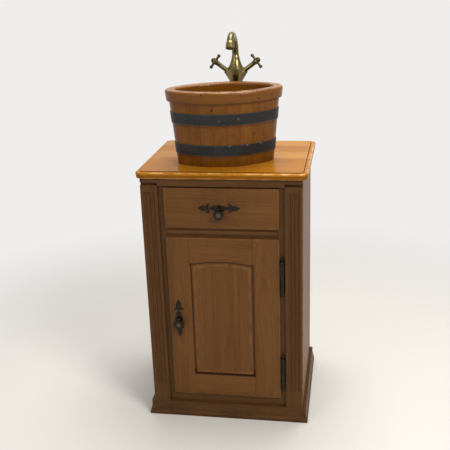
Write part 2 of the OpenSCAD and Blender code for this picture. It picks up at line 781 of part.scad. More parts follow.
// A drop hanging from its eye: its faces swell towards the middle line
module pull_drop(x, z) color(dark_metal) stand_back() translate([x, drop_y, z]) difference() {
    sag = (drop_t - drop_edge_t) / 2;
    face_r = (pow(drop_w / 2, 2) + pow(sag, 2)) / (2 * sag);
    union() {
        rotate([0, 90, 0]) cylinder(r = eye_r, h = eye_w, center = true, $fn = 40);
        translate([0, 0, -eye_r * 3]) cylinder(r = 2.6, h = eye_r * 2.5, $fn = 40);
        intersection() {
            translate([0, drop_t / 2, 0]) rotate([90, 0, 0]) linear_extrude(drop_t) drop_outline();
            intersection_for(side = [-1, 1]) translate([0, side * (face_r - drop_t / 2), -drop_l - 5])
                cylinder(r = face_r, h = drop_l + 5, $fn = 240);
        }
    }
    rotate([0, 90, 0]) cylinder(r = drop_pin_r + pin_play, h = 2 * eye_w, center = true, $fn = 40);
}

module drawer_pull_plate() pull_plate(drawer_plate_x, drawer_plate_z, 0);
module drawer_pull_drop() pull_drop(drawer_plate_x, drawer_plate_z);
module door_pull_plate() pull_plate(door_plate_x, door_plate_z, 90);
module door_pull_drop() pull_drop(door_plate_x, door_plate_z);

// Half barrel with its finial, rising from z = 0
module half_barrel() {
    cylinder(r = barrel_r, h = barrel_l, $fn = 64);
    translate([0, 0, barrel_l]) cylinder(r = barrel_r * 0.55, h = finial_l * 0.4, $fn = 48);
    translate([0, 0, barrel_l + finial_l - barrel_r * 0.8]) sphere(r = barrel_r * 0.8, $fn = 48);
}

module hinge_frame_half(z) color(dark_metal) stand_back() translate([pin_x, -pin_out, z]) {
    translate([0, 0, -knuckle_gap / 2]) mirror([0, 0, 1]) half_barrel();
    translate([0, 0, -1]) cylinder(r = pin_r, h = barrel_l * 0.6, $fn = 48);
    board([-leaf_t / 2, 0, -barrel_l + 4], [leaf_t / 2, pin_out, -4]);
}

module hinge_door_half(z) color(dark_metal) stand_back() translate([pin_x, -pin_out, z]) {
    leaf_y = pin_out + lip_y + bevel_d + 0.3;
    difference() {
        union() {
            translate([0, 0, knuckle_gap / 2]) half_barrel();
            board([-barrel_r - barrel_air, leaf_y, 4], [0, leaf_y + leaf_t, barrel_l - 4]);
        }
        translate([0, 0, -1]) cylinder(r = pin_r + pin_play, h = barrel_l * 0.6 + 2, $fn = 48);
    }
}

module hinge_upper_frame_half() hinge_frame_half(door_top_z - upper_hinge_down);
module hinge_upper_door_half() hinge_door_half(door_top_z - upper_hinge_down);
module hinge_lower_frame_half() hinge_frame_half(door_z + lower_hinge_up);
module hinge_lower_door_half() hinge_door_half(door_z + lower_hinge_up);

// The tub. A point's place across the wall is its distance outside the foot's outline.

module at_tub() stand_back() translate([tub_x, tub_y, top_z]) rotate(tub_turn) children();

module at_waste() stand_back() translate([tub_x, waste_y, top_z]) children();

// Sweeps a profile, in (distance outside the foot's outline, height), round the whole oval
module round_tub() {
    for (i = [0:3]) {
        arc_r = i % 2 == 0 ? tub_end_r : side_r;
        side = i % 2 == 0 ? 1 : -1;
        rotate(i * 90) translate([side * end_c, 0]) rotate(-45)
            rotate_extrude(angle = 90, $fn = 180) translate([arc_r, 0]) children();
    }
}

// A stave's section, with the groove near its foot that holds the floor
module stave_profile() difference() {
    polygon([[-stave_t, 0], [0, 0], [stave_lean, stave_h], [stave_lean - stave_t, stave_h]]);
    translate([-2 * stave_t, floor_up - tub_fit]) square([2 * stave_t - groove_wall, floor_t + 2 * tub_fit]);
}

module basin_staves() color(oak_tub) at_tub() {
    for (i = [0:3]) {
        is_end = i % 2 == 0;
        arc_r = is_end ? tub_end_r : side_r;
        count = is_end ? end_staves : side_staves;
        step = 90 / count;
        gap = stave_gap / arc_r * 180 / PI;
        for (k = [0:count - 1])
            rotate(i * 90) translate([is_end ? end_c : -end_c, 0]) rotate(-45 + k * step + gap / 2)
                rotate_extrude(angle = step - gap, $fn = 180) translate([arc_r, 0]) stave_profile();
    }
}

// The rim's section: square below, rounded above
module basin_rim() color(oak_tub) at_tub() {
    out = stave_lean + rim_out;
    in = stave_lean - stave_t - rim_in;
    z = stave_h + rim_h - rim_round;
    round_tub() polygon([[in, stave_h], [out, stave_h],
        for (a = [0:15:90]) [out + rim_flare - rim_round + rim_round * cos(a), z + rim_round * sin(a)],
        for (a = [90:15:180]) [in + rim_round + rim_round * cos(a), z + rim_round * sin(a)]]);
}

// The tub's oval in plan, grown by grow from its outline at the foot
module oval(grow) {
    far = 2 * side_r;
    difference() {
        intersection_for(side = [-1, 1]) translate([0, side * end_c]) circle(r = side_r + grow, $fn = 180);
        for (turn = [0, 180]) rotate(turn) translate([end_c, 0]) polygon([[0, 0], [far, -far], [far, far]]);
    }
    for (turn = [0, 180]) rotate(turn) translate([end_c, 0]) intersection() {
        circle(r = tub_end_r + grow, $fn = 180);
        polygon([[0, 0], [far, -far], [far, far]]);
    }
}

// The floor is of three boards, which run along the tub
module basin_floor() color(oak_tub) difference() {
    at_tub() along_z(floor_up, floor_up + floor_t) oval(-groove_wall - tub_fit);
    at_tub() for (side = [-1, 1]) translate([0, side * floor_board_w / 2, floor_up + floor_t / 2])
        cube([tub_foot_l, stave_gap, floor_t + 2], center = true);
    at_waste() translate([0, 0, floor_up - 1]) cylinder(r = shank_r + shank_air, h = floor_t + 2, $fn = 96);
}

module hoop(up) color(iron) at_tub() {
    low = up * lean + tub_fit;
    high = (up + hoop_h) * lean + tub_fit;
    round_tub() polygon([[low, up], [low + hoop_t, up], [high + hoop_t, up + hoop_h], [high, up + hoop_h]]);
}

module basin_hoop_upper() hoop(upper_hoop_up);
module basin_hoop_lower() hoop(lower_hoop_up);

// Waste: flange and cross bars in the basin, shank through floor and worktop, nut below
module basin_waste() color(old_brass) at_waste() {
    flange_z = floor_up + floor_t;
    shank_z = -top_t - shank_below;
    nut_z = -top_t - waste_nut_t;
    difference() {
        union() {
            translate([0, 0, flange_z]) cylinder(r = waste_flange_r, h = waste_flange_t, $fn = 96);
            translate([0, 0, shank_z]) cylinder(r = shank_r, h = flange_z - shank_z + 0.5, $fn = 96);
            translate([0, 0, nut_z]) cylinder(r = waste_nut_r, h = waste_nut_t, $fn = 6);
        }
        translate([0, 0, shank_z - 1]) cylinder(r = waterway_r, h = flange_z - shank_z + 10, $fn = 96);
        translate([0, 0, flange_z + 1])
            cylinder(r1 = waterway_r, r2 = waste_flange_r - 4, h = waste_flange_t, $fn = 96);
    }
    for (turn = [0, 90]) rotate(turn)
        translate([-waterway_r - 1, -1.5, flange_z - 6]) cube([2 * waterway_r + 2, 3, 4]);
}

// Bottle trap: union nut and inlet, bottle with two beads, socket for the waste pipe
module waste_trap() color(white_plastic) stand_back() translate([tub_x, waste_y, 0]) {
    bottle_z = trap_top_z - trap_h;
    cup = trap_r / 3;
    translate([0, 0, trap_top_z]) cylinder(r = pipe_r + 2, h = trap_neck_h - tub_fit, $fn = 72);
    translate([0, 0, shank_low_z - tub_fit - trap_nut_h]) cylinder(r = trap_nut_r, h = trap_nut_h, $fn = 72);
    translate([0, 0, bottle_z]) rotate_extrude($fn = 96) {
        square([trap_r - cup, trap_h]);
        translate([0, cup]) square([trap_r, trap_h - cup]);
        translate([trap_r - cup, cup]) circle(r = cup, $fn = 48);
    }
    translate([0, 0, bottle_z + trap_h * 0.4]) cylinder(r = trap_r + 2, h = 5, $fn = 96);
    translate([0, 0, pipe_z]) rotate([-90, 0, 0]) cylinder(r = pipe_r + 5, h = trap_r + trap_socket_l, $fn = 72);
}

module waste_pipe() color(white_plastic) stand_back() translate([tub_x, pipe_start_y, pipe_z])
    rotate([-90, 0, 0]) difference() {
        cylinder(r = pipe_r, h = pipe_end_y - pipe_start_y, $fn = 72);
        translate([0, 0, -1]) cylinder(r = pipe_r - 2, h = pipe_end_y - pipe_start_y + 2, $fn = 72);
    }

// Tap

module at_tap() stand_back() translate([tap_x, tap_y, 0]) children();

// Turns what stands on Z to lie along one arm of the tap
module along_arm(side) translate([0, 0, arm_z]) rotate([0, side * (90 - arm_rise), 0]) children();

// Foot, pillar and bulb turned in one, with a neck that sweeps in to the spout and two rising arms
module tap_body() color(old_brass) at_tap() {
    bulb_foot = pillar_h - 8;
    bulb_top = pillar_h + tap_body_h * 0.4;
    neck_foot = pillar_h + tap_body_h * 0.55;
    neck_top = pillar_h + tap_body_h;
    translate([0, 0, top_z]) rotate_extrude($fn = 96) {
        square([tap_flange_r, tap_flange_h * 0.4]);
        polygon([[0, 0], [tap_flange_r - 1, tap_flange_h * 0.4],
            [pillar_r + 3, tap_flange_h], [0, tap_flange_h]]);
        translate([pillar_r, tap_flange_h + 2]) circle(r = 2.5, $fn = 32);
        square([pillar_r, pillar_h]);
        polygon([[0, bulb_foot],
            for (t = [0:0.125:1])
                [pillar_r + (tap_body_r - pillar_r) * sin(90 * t), bulb_foot + (bulb_top - bulb_foot) * t],
            for (t = [0:0.1:1])
                [neck_r + (tap_body_r - neck_r) * pow(1 - t, 1.6), neck_foot + (neck_top - neck_foot) * t],
            [0, neck_top]]);
    }
    for (side = [-1, 1]) along_arm(side) {
        translate([0, 0, 6]) cylinder(r1 = socket_r, r2 = socket_end_r, h = socket_l - 6, $fn = 72);
        translate([0, 0, socket_l - 3]) cylinder(r = socket_end_r + 0.8, h = 4, $fn = 72);
        translate([0, 0, socket_l]) cylinder(r = bonnet_r, h = bonnet_l - socket_l - 0.3, $fn = 64);
        translate([0, 0, bonnet_l - 1]) cylinder(r = spindle_r, h = hub_l * 0.6 + 1, $fn = 64);
    }
}

// A round bar bent about the origin from the X axis on
module bent_bar(bend_r, turn)
    rotate_extrude(angle = turn, $fn = 144) translate([bend_r, 0]) circle(r = spout_r, $fn = 72);

module spout_outlet() difference() {
    union() {
        translate([0, 0, -6]) cylinder(r1 = spout_r, r2 = outlet_r, h = 8, $fn = 72);
        translate([0, 0, 2]) cylinder(r = outlet_r, h = outlet_l - 2, $fn = 72);
    }
    translate([0, 0, outlet_l - 4]) cylinder(r = outlet_r - 2.5, h = 5, $fn = 72);
}

// Both bends share a crown, from which the second falls more tightly
module tap_spout() color(old_brass) at_tap() translate([0, 0, neck_z]) {
    cylinder(r1 = neck_r, r2 = spout_r, h = neck_h, $fn = 72);
    translate([0, -rise_bend_r, neck_h]) rotate([0, 0, 90]) rotate([90, 0, 0]) bent_bar(rise_bend_r, 90);
    translate([0, -rise_bend_r, neck_h + rise_bend_r - fall_bend_r]) rotate([0, 0, 90]) rotate([90, 0, 0]) {
        rotate(90) bent_bar(fall_bend_r, fall_turn);
        rotate(90 + fall_turn) translate([fall_bend_r, 0, 0]) rotate([-90, 0, 0]) spout_outlet();
    }
}

module tap_handle(side) color(old_brass) at_tap() along_arm(side) translate([0, 0, bonnet_l]) difference() {
    mid = hub_l * 0.55;
    reach = handle_w / 2;
    union() {
        cylinder(r1 = hub_r - 1.5, r2 = hub_r, h = 4, $fn = 64);
        translate([0, 0, 4]) cylinder(r = hub_r, h = hub_l - 4, $fn = 64);
        translate([0, 0, hub_l]) cylinder(r = hub_r - 2, h = 1.6, $fn = 64);
        for (turn = [0:90:270]) rotate(turn) translate([0, 0, mid]) rotate([0, 90, 0]) {
            cylinder(r = spoke_r, h = reach - 3, $fn = 40);
            translate([0, 0, reach - 8]) cylinder(r = spoke_knob_r, h = 5.5, $fn = 40);
            translate([0, 0, reach - spoke_knob_r * 0.9]) sphere(r = spoke_knob_r * 0.9, $fn = 40);
        }
    }
    translate([0, 0, -1]) cylinder(r = spindle_r + pin_play, h = hub_l * 0.6 + 1.5, $fn = 64);
}

module tap_handle_left() tap_handle(-1);
module tap_handle_right() tap_handle(1);

// A supply pipe comes down through the worktop and turns to the back
module supply_pipe(side) color(copper) at_tap()
translate([side * tail_out, tail_back, carcass_h - tail_below]) {
    translate([0, 0, tail_bend_r]) cylinder(r = tail_r, h = top_t + tail_below - tail_bend_r, $fn = 48);
    translate([0, tail_bend_r, tail_bend_r]) rotate([-90, 0, -90])
        rotate_extrude(angle = 90, $fn = 96) translate([tail_bend_r, 0]) circle(r = tail_r, $fn = 48);
    translate([0, tail_bend_r, 0]) rotate([-90, 0, 0])
        cylinder(r = tail_r, h = pipe_end_y - tap_y - tail_back - tail_bend_r, $fn = 48);
}

module supply_pipe_left() supply_pipe(-1);
module supply_pipe_right() supply_pipe(1);

// Stud, horseshoe plate and nut that hold the tap from below
module tap_fixing() color(old_brass) at_tap() translate([0, -10, 0]) {
    plate = 4;
    stud = tail_below - 1;
    translate([0, 0, carcass_h - stud]) cylinder(r = 3.5, h = top_t + stud, $fn = 40);
    translate([0, 0, carcass_h - plate - 9]) cylinder(r = 8, h = 9, $fn = 6);
    difference() {
        translate([0, 10, carcass_h - plate]) cylinder(r = tap_flange_r, h = plate, $fn = 72);
        board([-tail_out - tail_r - 1, 7, carcass_h - plate - 1], [tail_out + tail_r + 1, 2 * tap_flange_r, carcass_h + 1]);
    }
}

worktop();
frieze_rail();
side_panel_left();
side_panel_right();
back_panel();
bottom_board();
corner_stile_left();
corner_stile_right();
drawer_rail();
bottom_rail();
plinth_front();
plinth_left();
plinth_right();
drawer_runner_left();
drawer_runner_right();
drawer_front();
drawer_side_left();
drawer_side_right();
drawer_back();
drawer_bottom();
drawer_pull_plate();
drawer_pull_drop();
door_stile_left();
door_stile_right();
door_top_rail();
door_bottom_rail();
door_panel();
door_pull_plate();
door_pull_drop();
hinge_upper_frame_half();
hinge_upper_door_half();
hinge_lower_frame_half();
hinge_lower_door_half();
basin_staves();
basin_rim();
basin_floor();
basin_hoop_upper();
basin_hoop_lower();
basin_waste();
waste_trap();
waste_pipe();
tap_body();
tap_spout();
tap_handle_left();
tap_handle_right();
supply_pipe_left();
supply_pipe_right();
tap_fixing();
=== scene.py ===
import math
import bmesh
import bpy
from mathutils import Matrix, Vector


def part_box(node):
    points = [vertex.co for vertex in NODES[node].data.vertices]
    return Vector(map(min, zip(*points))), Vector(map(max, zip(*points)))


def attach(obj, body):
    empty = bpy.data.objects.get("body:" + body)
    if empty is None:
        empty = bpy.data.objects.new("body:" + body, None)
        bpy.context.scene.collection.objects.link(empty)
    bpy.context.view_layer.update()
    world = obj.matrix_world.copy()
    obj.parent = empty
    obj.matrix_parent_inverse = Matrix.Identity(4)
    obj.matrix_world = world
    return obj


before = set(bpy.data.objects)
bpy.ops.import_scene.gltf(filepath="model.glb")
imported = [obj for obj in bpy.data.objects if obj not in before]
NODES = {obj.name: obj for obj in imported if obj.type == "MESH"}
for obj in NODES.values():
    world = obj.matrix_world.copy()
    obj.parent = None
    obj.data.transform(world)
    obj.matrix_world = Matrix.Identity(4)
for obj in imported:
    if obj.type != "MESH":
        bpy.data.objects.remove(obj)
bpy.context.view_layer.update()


# Camera

CAMERA_PLACE = Vector((0.3697, -2.2445, 1.3763))
CAMERA_TARGET = Vector((-0.0252, 0.012, 0.5791))
CAMERA_ROLL = math.radians(-2.0)
CAMERA_LENS = 60.2
SENSOR_WIDTH = 36
CAMERA_FAR = 200


# Stage: the floor fades into the background's plain light between two distances from the middle

FLOOR_HALF = 40.0
FLOOR_DROP = 0.0005
FADE_FROM = 0.75
FADE_TO = 1.9
PAPER = 0.86
PAPER_TINT = (1.0, 0.99, 0.975, 1.0)
FILL_LIGHT = 0.42


# Each lamp: its place, what it points at, its width, its power and its tint

LAMPS = {
    "key": ((1.8, -1.8, 2.6), (0, 0, 0.7), 1.2, 58, (1.0, 0.96, 0.90)),
    "top": ((0.2, 0.5, 3.0), (0, 0, 0.8), 1.6, 55, (1.0, 0.97, 0.93)),
    "left": ((-1.4, -2.4, 1.9), (0, 0, 0.7), 1.2, 12, (1.0, 0.98, 0.95)),
}


# The tub's plan, as the source draws it: four arcs, turned on the worktop

TUB_PLACE = (-0.003, -0.0537)
TUB_TURN = math.radians(12)
TUB_END_C = 0.107
TUB_END_R = 0.038
TUB_SIDE_R = TUB_END_R + TUB_END_C * math.sqrt(2)
TUB_LEAN = 18 / 190
TUB_FOOT_Z = 0.811
STAVES_A_SIDE = 8
STAVES_AN_END = 2
QUARTER_TURN = math.pi / 2


# Numbers that keep the staves of the four arcs apart, so that no two boards share their grain

BACK_ARC = 8.3
END_ARC = 20.7
RIGHT_ARC = 4.9


# The hoops, as the source places them

HOOP_PROUD = 0.0019
HOOP_H = 0.032
UPPER_HOOP_Z = 0.937
LOWER_HOOP_Z = 0.845
UPPER_HOOP_UP = UPPER_HOOP_Z - TUB_FOOT_Z
LOWER_HOOP_UP = LOWER_HOOP_Z - TUB_FOOT_Z


# Marks on the tub: heights above the worktop of the painted shade at the foot, under each hoop and at
# the rim's lower edge, and of the painted highlight on the rim's crown, then the places of knots and
# nicks

FOOT_SHADE_TOP = 0.045
LOWER_HOOP_SHADE = (0.029, 0.034)
UPPER_HOOP_SHADE = (0.120, 0.126)
SHADE_FADE = 0.006
RIM_SEAM = (0.190, 0.197)
RIM_CROWN = (0.2185, 0.2215)
KNOTS = ((-0.0237, -0.1543, 0.9813), (0.0930, -0.1130, 0.9080))
KNOT_SIZE = 0.006
NICKS = ((-0.0501, -0.1674, 1.0283), (-0.0367, -0.1687, 1.0304),
         (0.1096, -0.1204, 1.0093), (0.1438, -0.0877, 1.0149))
NICK_SIZE = 0.0052


# The worktop's moulded edge: its corner, the quirk's distance inside the edge, where shade is painted,
# and the heights of the painted shade on the nose and of the painted highlight along the rounded arris

TOP_CORNER_R = 0.028
QUIRK = (0.0130, 0.0150)
QUIRK_FADE = 0.0006
NOSE_LOW = 0.7990
NOSE_HIGH = 0.8090
TOP_ROUND = (0.8072, 0.8086)
TOP_ROUND_FADE = 0.0010


# The door's panel opening, the bands of painted shadow round it and at its foot, and the edge of the
# panel's raised field, measured in from it, where a highlight is painted

SIGHT_LEFT = -0.100
SIGHT_RIGHT = 0.090
SIGHT_LOW = 0.151
SIGHT_TOP = 0.525
LOW_SEAM = (SIGHT_LOW + 0.008, SIGHT_LOW + 0.030)
ARCH_HALF = 0.081
ARCH_RISE = 0.008
ARCH_R = (ARCH_HALF ** 2 + ARCH_RISE ** 2) / (2 * ARCH_RISE)
PANEL_SEAM = (-0.0010, 0.0035)
PANEL_SEAM_FADE = 0.0022
FIELD_EDGE = (0.0095, 0.0125)


# The plinth, where a highlight is painted along its bead, the pulls and the tap

PLINTH_BEAD = (0.0110, 0.0135)
MOULDING_FADE = 0.0020
DRAWER_PULL = (-0.005, 0.700)
DOOR_PULL = (-0.142, 0.345)
# The middles of the drops, where a highlight is painted on the dark metal
DROP_CENTRES = ((-0.005, 0.6860), (-0.142, 0.3270))
DROP_FACE_Y = -0.2070
TAP_X = 0.006
TAP_Y = 0.1323
TAP_ARM_Z = 1.034
TAP_ARM_RISE = math.radians(37)


def rgb(red, green, blue):
    """A colour as a paint chart gives it, 0 to 255, turned into the light values that nodes use."""
    def light(part):
        share = part / 255
        return share / 12.92 if share <= 0.04045 else ((share + 0.055) / 1.055) ** 2.4
    return (light(red), light(green), light(blue), 1.0)


# Woods: four colours, the last for rubbed edges and painted highlights, then roughness, varnish, shine,
# figure, depth of the pores, and the strength of the rubbing and painted highlights

OAK = dict(
    early=rgb(109, 71, 32), late=rgb(78, 48, 19), pore=rgb(44, 25, 10), wear_and_highlight=rgb(138, 94, 52),
    rough=0.46, coat=0.05, shine=0.15, figure=0.80, relief=0.35, rub_and_highlight=0.45)
OAK_DARK = dict(
    early=rgb(90, 58, 25), late=rgb(64, 39, 15), pore=rgb(36, 20, 8), wear_and_highlight=rgb(120, 82, 44),
    rough=0.46, coat=0.05, shine=0.15, figure=0.75, relief=0.35, rub_and_highlight=0.45)
# The worktop's oak: the carcass's oak painted lighter, as the light that falls on the worktop's top
OAK_LIT = dict(
    early=rgb(176, 115, 26), late=rgb(138, 82, 12), pore=rgb(84, 44, 8), wear_and_highlight=rgb(238, 200, 138),
    rough=0.28, coat=0.05, shine=0.05, figure=0.7, relief=0.16, rub_and_highlight=0.55)
DRAWER_WOOD = dict(
    early=rgb(190, 148, 98), late=rgb(160, 116, 70), pore=rgb(110, 76, 44), wear_and_highlight=rgb(206, 170, 122),
    rough=0.62, coat=0.0, shine=0.3, figure=0.9, relief=0.4, rub_and_highlight=0.30)
TUB_WOOD = dict(
    early=rgb(117, 71, 15), late=rgb(86, 48, 6), pore=rgb(48, 24, 4), wear_and_highlight=rgb(152, 98, 34),
    rough=0.30, coat=0.10, shine=0.15, figure=0.8, relief=0.15, rub_and_highlight=0.45)
# The rim's last colour is laid on its crown as a painted highlight
RIM_WOOD = dict(
    early=rgb(119, 72, 15), late=rgb(90, 50, 7), pore=rgb(52, 26, 5), wear_and_highlight=rgb(164, 106, 34),
    rough=0.27, coat=0.10, shine=0.2, figure=0.8, relief=0.06, rub_and_highlight=0.70)


# Grain, in metres: the rings' width, how deep the log's heart lies, how far the rings wander

RING_WIDTH = 0.0062
HEART_DEPTH = 0.045
RING_SWAY = 0.10
RING_LIFT = 0.07
PORE_DEPTH = 0.0004
VARNISH_ROUGH = 0.12
SEED_STEP = 17.3


# Boards: how glued strips fall and differ in tone, and how their edges are rubbed and eased

STRIP_START = 100.37
STRIP_TONE = 0.22
JOINT_DARK = 0.30
RUB_WIDTH = 0.0045
EASED_EDGE = 0.0009
EASED_FROM = math.radians(40)
WELD_GAP = 0.00001


# Each board: its wood, the way its grain runs, and the width of its glued strips

BOARDS = {
    "worktop": (OAK_LIT, "x", 0.083),
    "frieze_rail": (OAK_DARK, "x", None),
    "side_panel_left": (OAK, "z", 0.096),
    "side_panel_right": (OAK, "z", 0.096),
    "back_panel": (OAK_DARK, "z", 0.110),
    "bottom_board": (OAK, "x", 0.105),
    "corner_stile_left": (OAK_DARK, "z", None),
    "corner_stile_right": (OAK_DARK, "z", None),
    "drawer_rail": (OAK_DARK, "x", None),
    "bottom_rail": (OAK_DARK, "x", None),
    "plinth_front": (OAK_DARK, "x", None),
    "plinth_left": (OAK_DARK, "y", None),
    "plinth_right": (OAK_DARK, "y", None),
    "drawer_runner_left": (OAK_DARK, "y", None),
    "drawer_runner_right": (OAK_DARK, "y", None),
    "drawer_front": (OAK, "x", None),
    "drawer_side_left": (DRAWER_WOOD, "y", None),
    "drawer_side_right": (DRAWER_WOOD, "y", None),
    "drawer_back": (DRAWER_WOOD, "x", None),
    "drawer_bottom": (DRAWER_WOOD, "x", 0.090),
    "door_stile_left": (OAK, "z", None),
    "door_stile_right": (OAK, "z", None),
    "door_top_rail": (OAK, "x", None),
    "door_bottom_rail": (OAK, "x", None),
    "door_panel": (OAK, "z", 0.078),
    "basin_floor": (TUB_WOOD, "x", None),
}
GRAINS = {"x": (0, 2, 1), "y": (1, 2, 0), "z": (2, 0, 1)}
FLAT_BOARDS = ("worktop", "bottom_board", "drawer_bottom", "basin_floor")
SIDES = ("side_panel_left", "side_panel_right", "back_panel")
PLINTHS = ("plinth_front", "plinth_left", "plinth_right")
DOOR_PARTS = ("door_stile_left", "door_stile_right", "door_top_rail", "door_bottom_rail", "door_panel")
UNRUBBED = ("frieze_rail", "drawer_rail", "bottom_rail", "basin_floor")
SHAPED_BOARDS = ("worktop", "corner_stile_left", "corner_stile_right", "basin_floor")


# The added pieces: each lap from its first angle to its last, each head by its radius and height

LAP_THICK = 0.0016
LAP_ROUND = 0.0005
LAP_INSET = 0.0002
LAP_SINK = 0.0004
LAP_STEPS = 26
UPPER_LAP = (13.2, -9.4)
LOWER_LAP = (-1.6, 20.8)
HEAD_SINK = 0.0008
RIVET_HEAD = (0.0044, 0.0022)
NAIL_HEAD = (0.0036, 0.0018)
SCREW_HEAD = (0.0038, 0.0015)
SHARP_FROM = math.radians(35)


# Each rivet: its angle on the tub's front, its height above the worktop, how far it stands off the hoop

UPPER_RIVETS = ((-5.9, 0.138, 0.0016), (9.7, 0.142, 0.0013))
LOWER_RIVETS = ((1.9, 0.062, 0.0013), (17.4, 0.062, 0.0016), (30.6, 0.062, 0.0))


# Places of the nails and screws, across and up

PLATE_FACE_Y = -0.2003
DRAWER_NAILS = ((-0.051, 0.704), (0.041, 0.704))
DOOR_NAILS = ((-0.142, 0.299), (-0.142, 0.391))
LOW_SCREWS = [(x, 0.075) for x in (-0.2, -0.1, 0.0, 0.1, 0.2)]
RUNNER_SCREWS = [(side * x, 0.6487) for side in (-1, 1) for x in (0.168, 0.204)]


# The tap's caps and aerator: each profile gives radius and height along its axis

HUB_END = 0.0922
CAP_PROFILE = ((0, 0), (0.0064, 0), (0.0064, 0.0008), (0.0056, 0.0020), (0.0036, 0.0031),
               (0.0016, 0.0036), (0, 0.0037))
OUTLET_ROOT = (TAP_X, 0.03166, 1.149)
OUTLET_WAY = (0, -0.5, -math.sqrt(0.75))
AERATOR_FOOT = 0.0119
AERATOR_RING = ((0.0090, AERATOR_FOOT), (0.0104, AERATOR_FOOT), (0.0104, 0.0152), (0.0090, 0.0152))
STRAINER_R = 0.0092
STRAINER_RINGS = 8
STRAINER_PITCH = 0.0011
STRAINER_STEP = 0.0002
STRAINER_HIGH = 0.0136
STRAINER_LOW = 0.0131


# The trap's nut: its middle, and a rib's section as place along the rim and distance from the middle

NUT_CENTRE = Vector((-0.003, -0.0297, 0.7388))
NUT_RIBS = 20
RIB_SECTION = ((-0.0018, 0.0236), (-0.0009, 0.0252), (0.0009, 0.0252), (0.0018, 0.0236))
RIB_ENDS = (0.0015, 0.0165)


# Camera and lamps

def set_camera():
    camera = bpy.data.objects.new("camera", bpy.data.cameras.new("camera"))
    bpy.context.scene.collection.objects.link(camera)
    sight = (CAMERA_TARGET - CAMERA_PLACE).to_track_quat("-Z", "Y").to_matrix()
    roll = Matrix.Rotation(CAMERA_ROLL, 3, "Z")
    camera.matrix_world = Matrix.Translation(CAMERA_PLACE) @ (sight @ roll).to_4x4()
    camera.data.lens = CAMERA_LENS
    camera.data.sensor_width = SENSOR_WIDTH
    camera.data.clip_end = CAMERA_FAR
    bpy.context.scene.camera = camera


def add_lamp(name, place, target, size, power, tint):
    lamp = bpy.data.objects.new(name, bpy.data.lights.new(name, "AREA"))
    bpy.context.scene.collection.objects.link(lamp)
    lamp.location = place
    lamp.rotation_euler = (Vector(target) - Vector(place)).to_track_quat("-Z", "Y").to_euler()
    lamp.data.shape = "DISK"
    lamp.data.size = size
    lamp.data.energy = power
    lamp.data.color = tint


# Material nodes

class Value:
    """A number on its way through a material's nodes: sums on it add Math nodes."""

    def __init__(self, paint, socket):
        self.paint = paint
        self.socket = socket

    def sum_with(self, operation, first, second):
        return self.paint.add("Math", {"operation": operation}, {0: first, 1: second})

    def __add__(self, other):
        return self.sum_with("ADD", self, other)

    def __radd__(self, other):
        return self.sum_with("ADD", other, self)

    def __sub__(self, other):
        return self.sum_with("SUBTRACT", self, other)

    def __rsub__(self, other):
        return self.sum_with("SUBTRACT", other, self)

    def __mul__(self, other):
        return self.sum_with("MULTIPLY", self, other)

    def __rmul__(self, other):
        return self.sum_with("MULTIPLY", other, self)

    def __truediv__(self, other):
        return self.sum_with("DIVIDE", self, other)

    def __rtruediv__(self, other):
        return self.sum_with("DIVIDE", other, self)

    def __abs__(self):
        return self.sum_with("ABSOLUTE", self, 0.0)

    def floor(self):
        return self.sum_with("FLOOR", self, 0.0)

    def part(self):
        return self.sum_with("FRACT", self, 0.0)

    def root(self):
        return self.sum_with("SQRT", self, 0.0)

    def turn_from(self, other):
        """The angle of the point (other, self), in radians."""
        return self.sum_with("ARCTAN2", self, other)

    def most(self, other):
        return self.sum_with("MAXIMUM", self, other)

    def least(self, other):
        return self.sum_with("MINIMUM", self, other)

    def above(self, other):
        return self.sum_with("GREATER_THAN", self, other)

    def rise(self, low, high):
        """0 below low, 1 above high, and a soft step between them."""
        sockets = {0: self, 1: low, 2: high, 3: 0.0, 4: 1.0}
        return self.paint.add("MapRange", {"interpolation_type": "SMOOTHSTEP"}, sockets)

    def band(self, low, high, soft):
        """1 between low and high, fading over soft on both sides."""
        return self.rise(low - soft, low) * (1 - self.rise(high, high + soft))


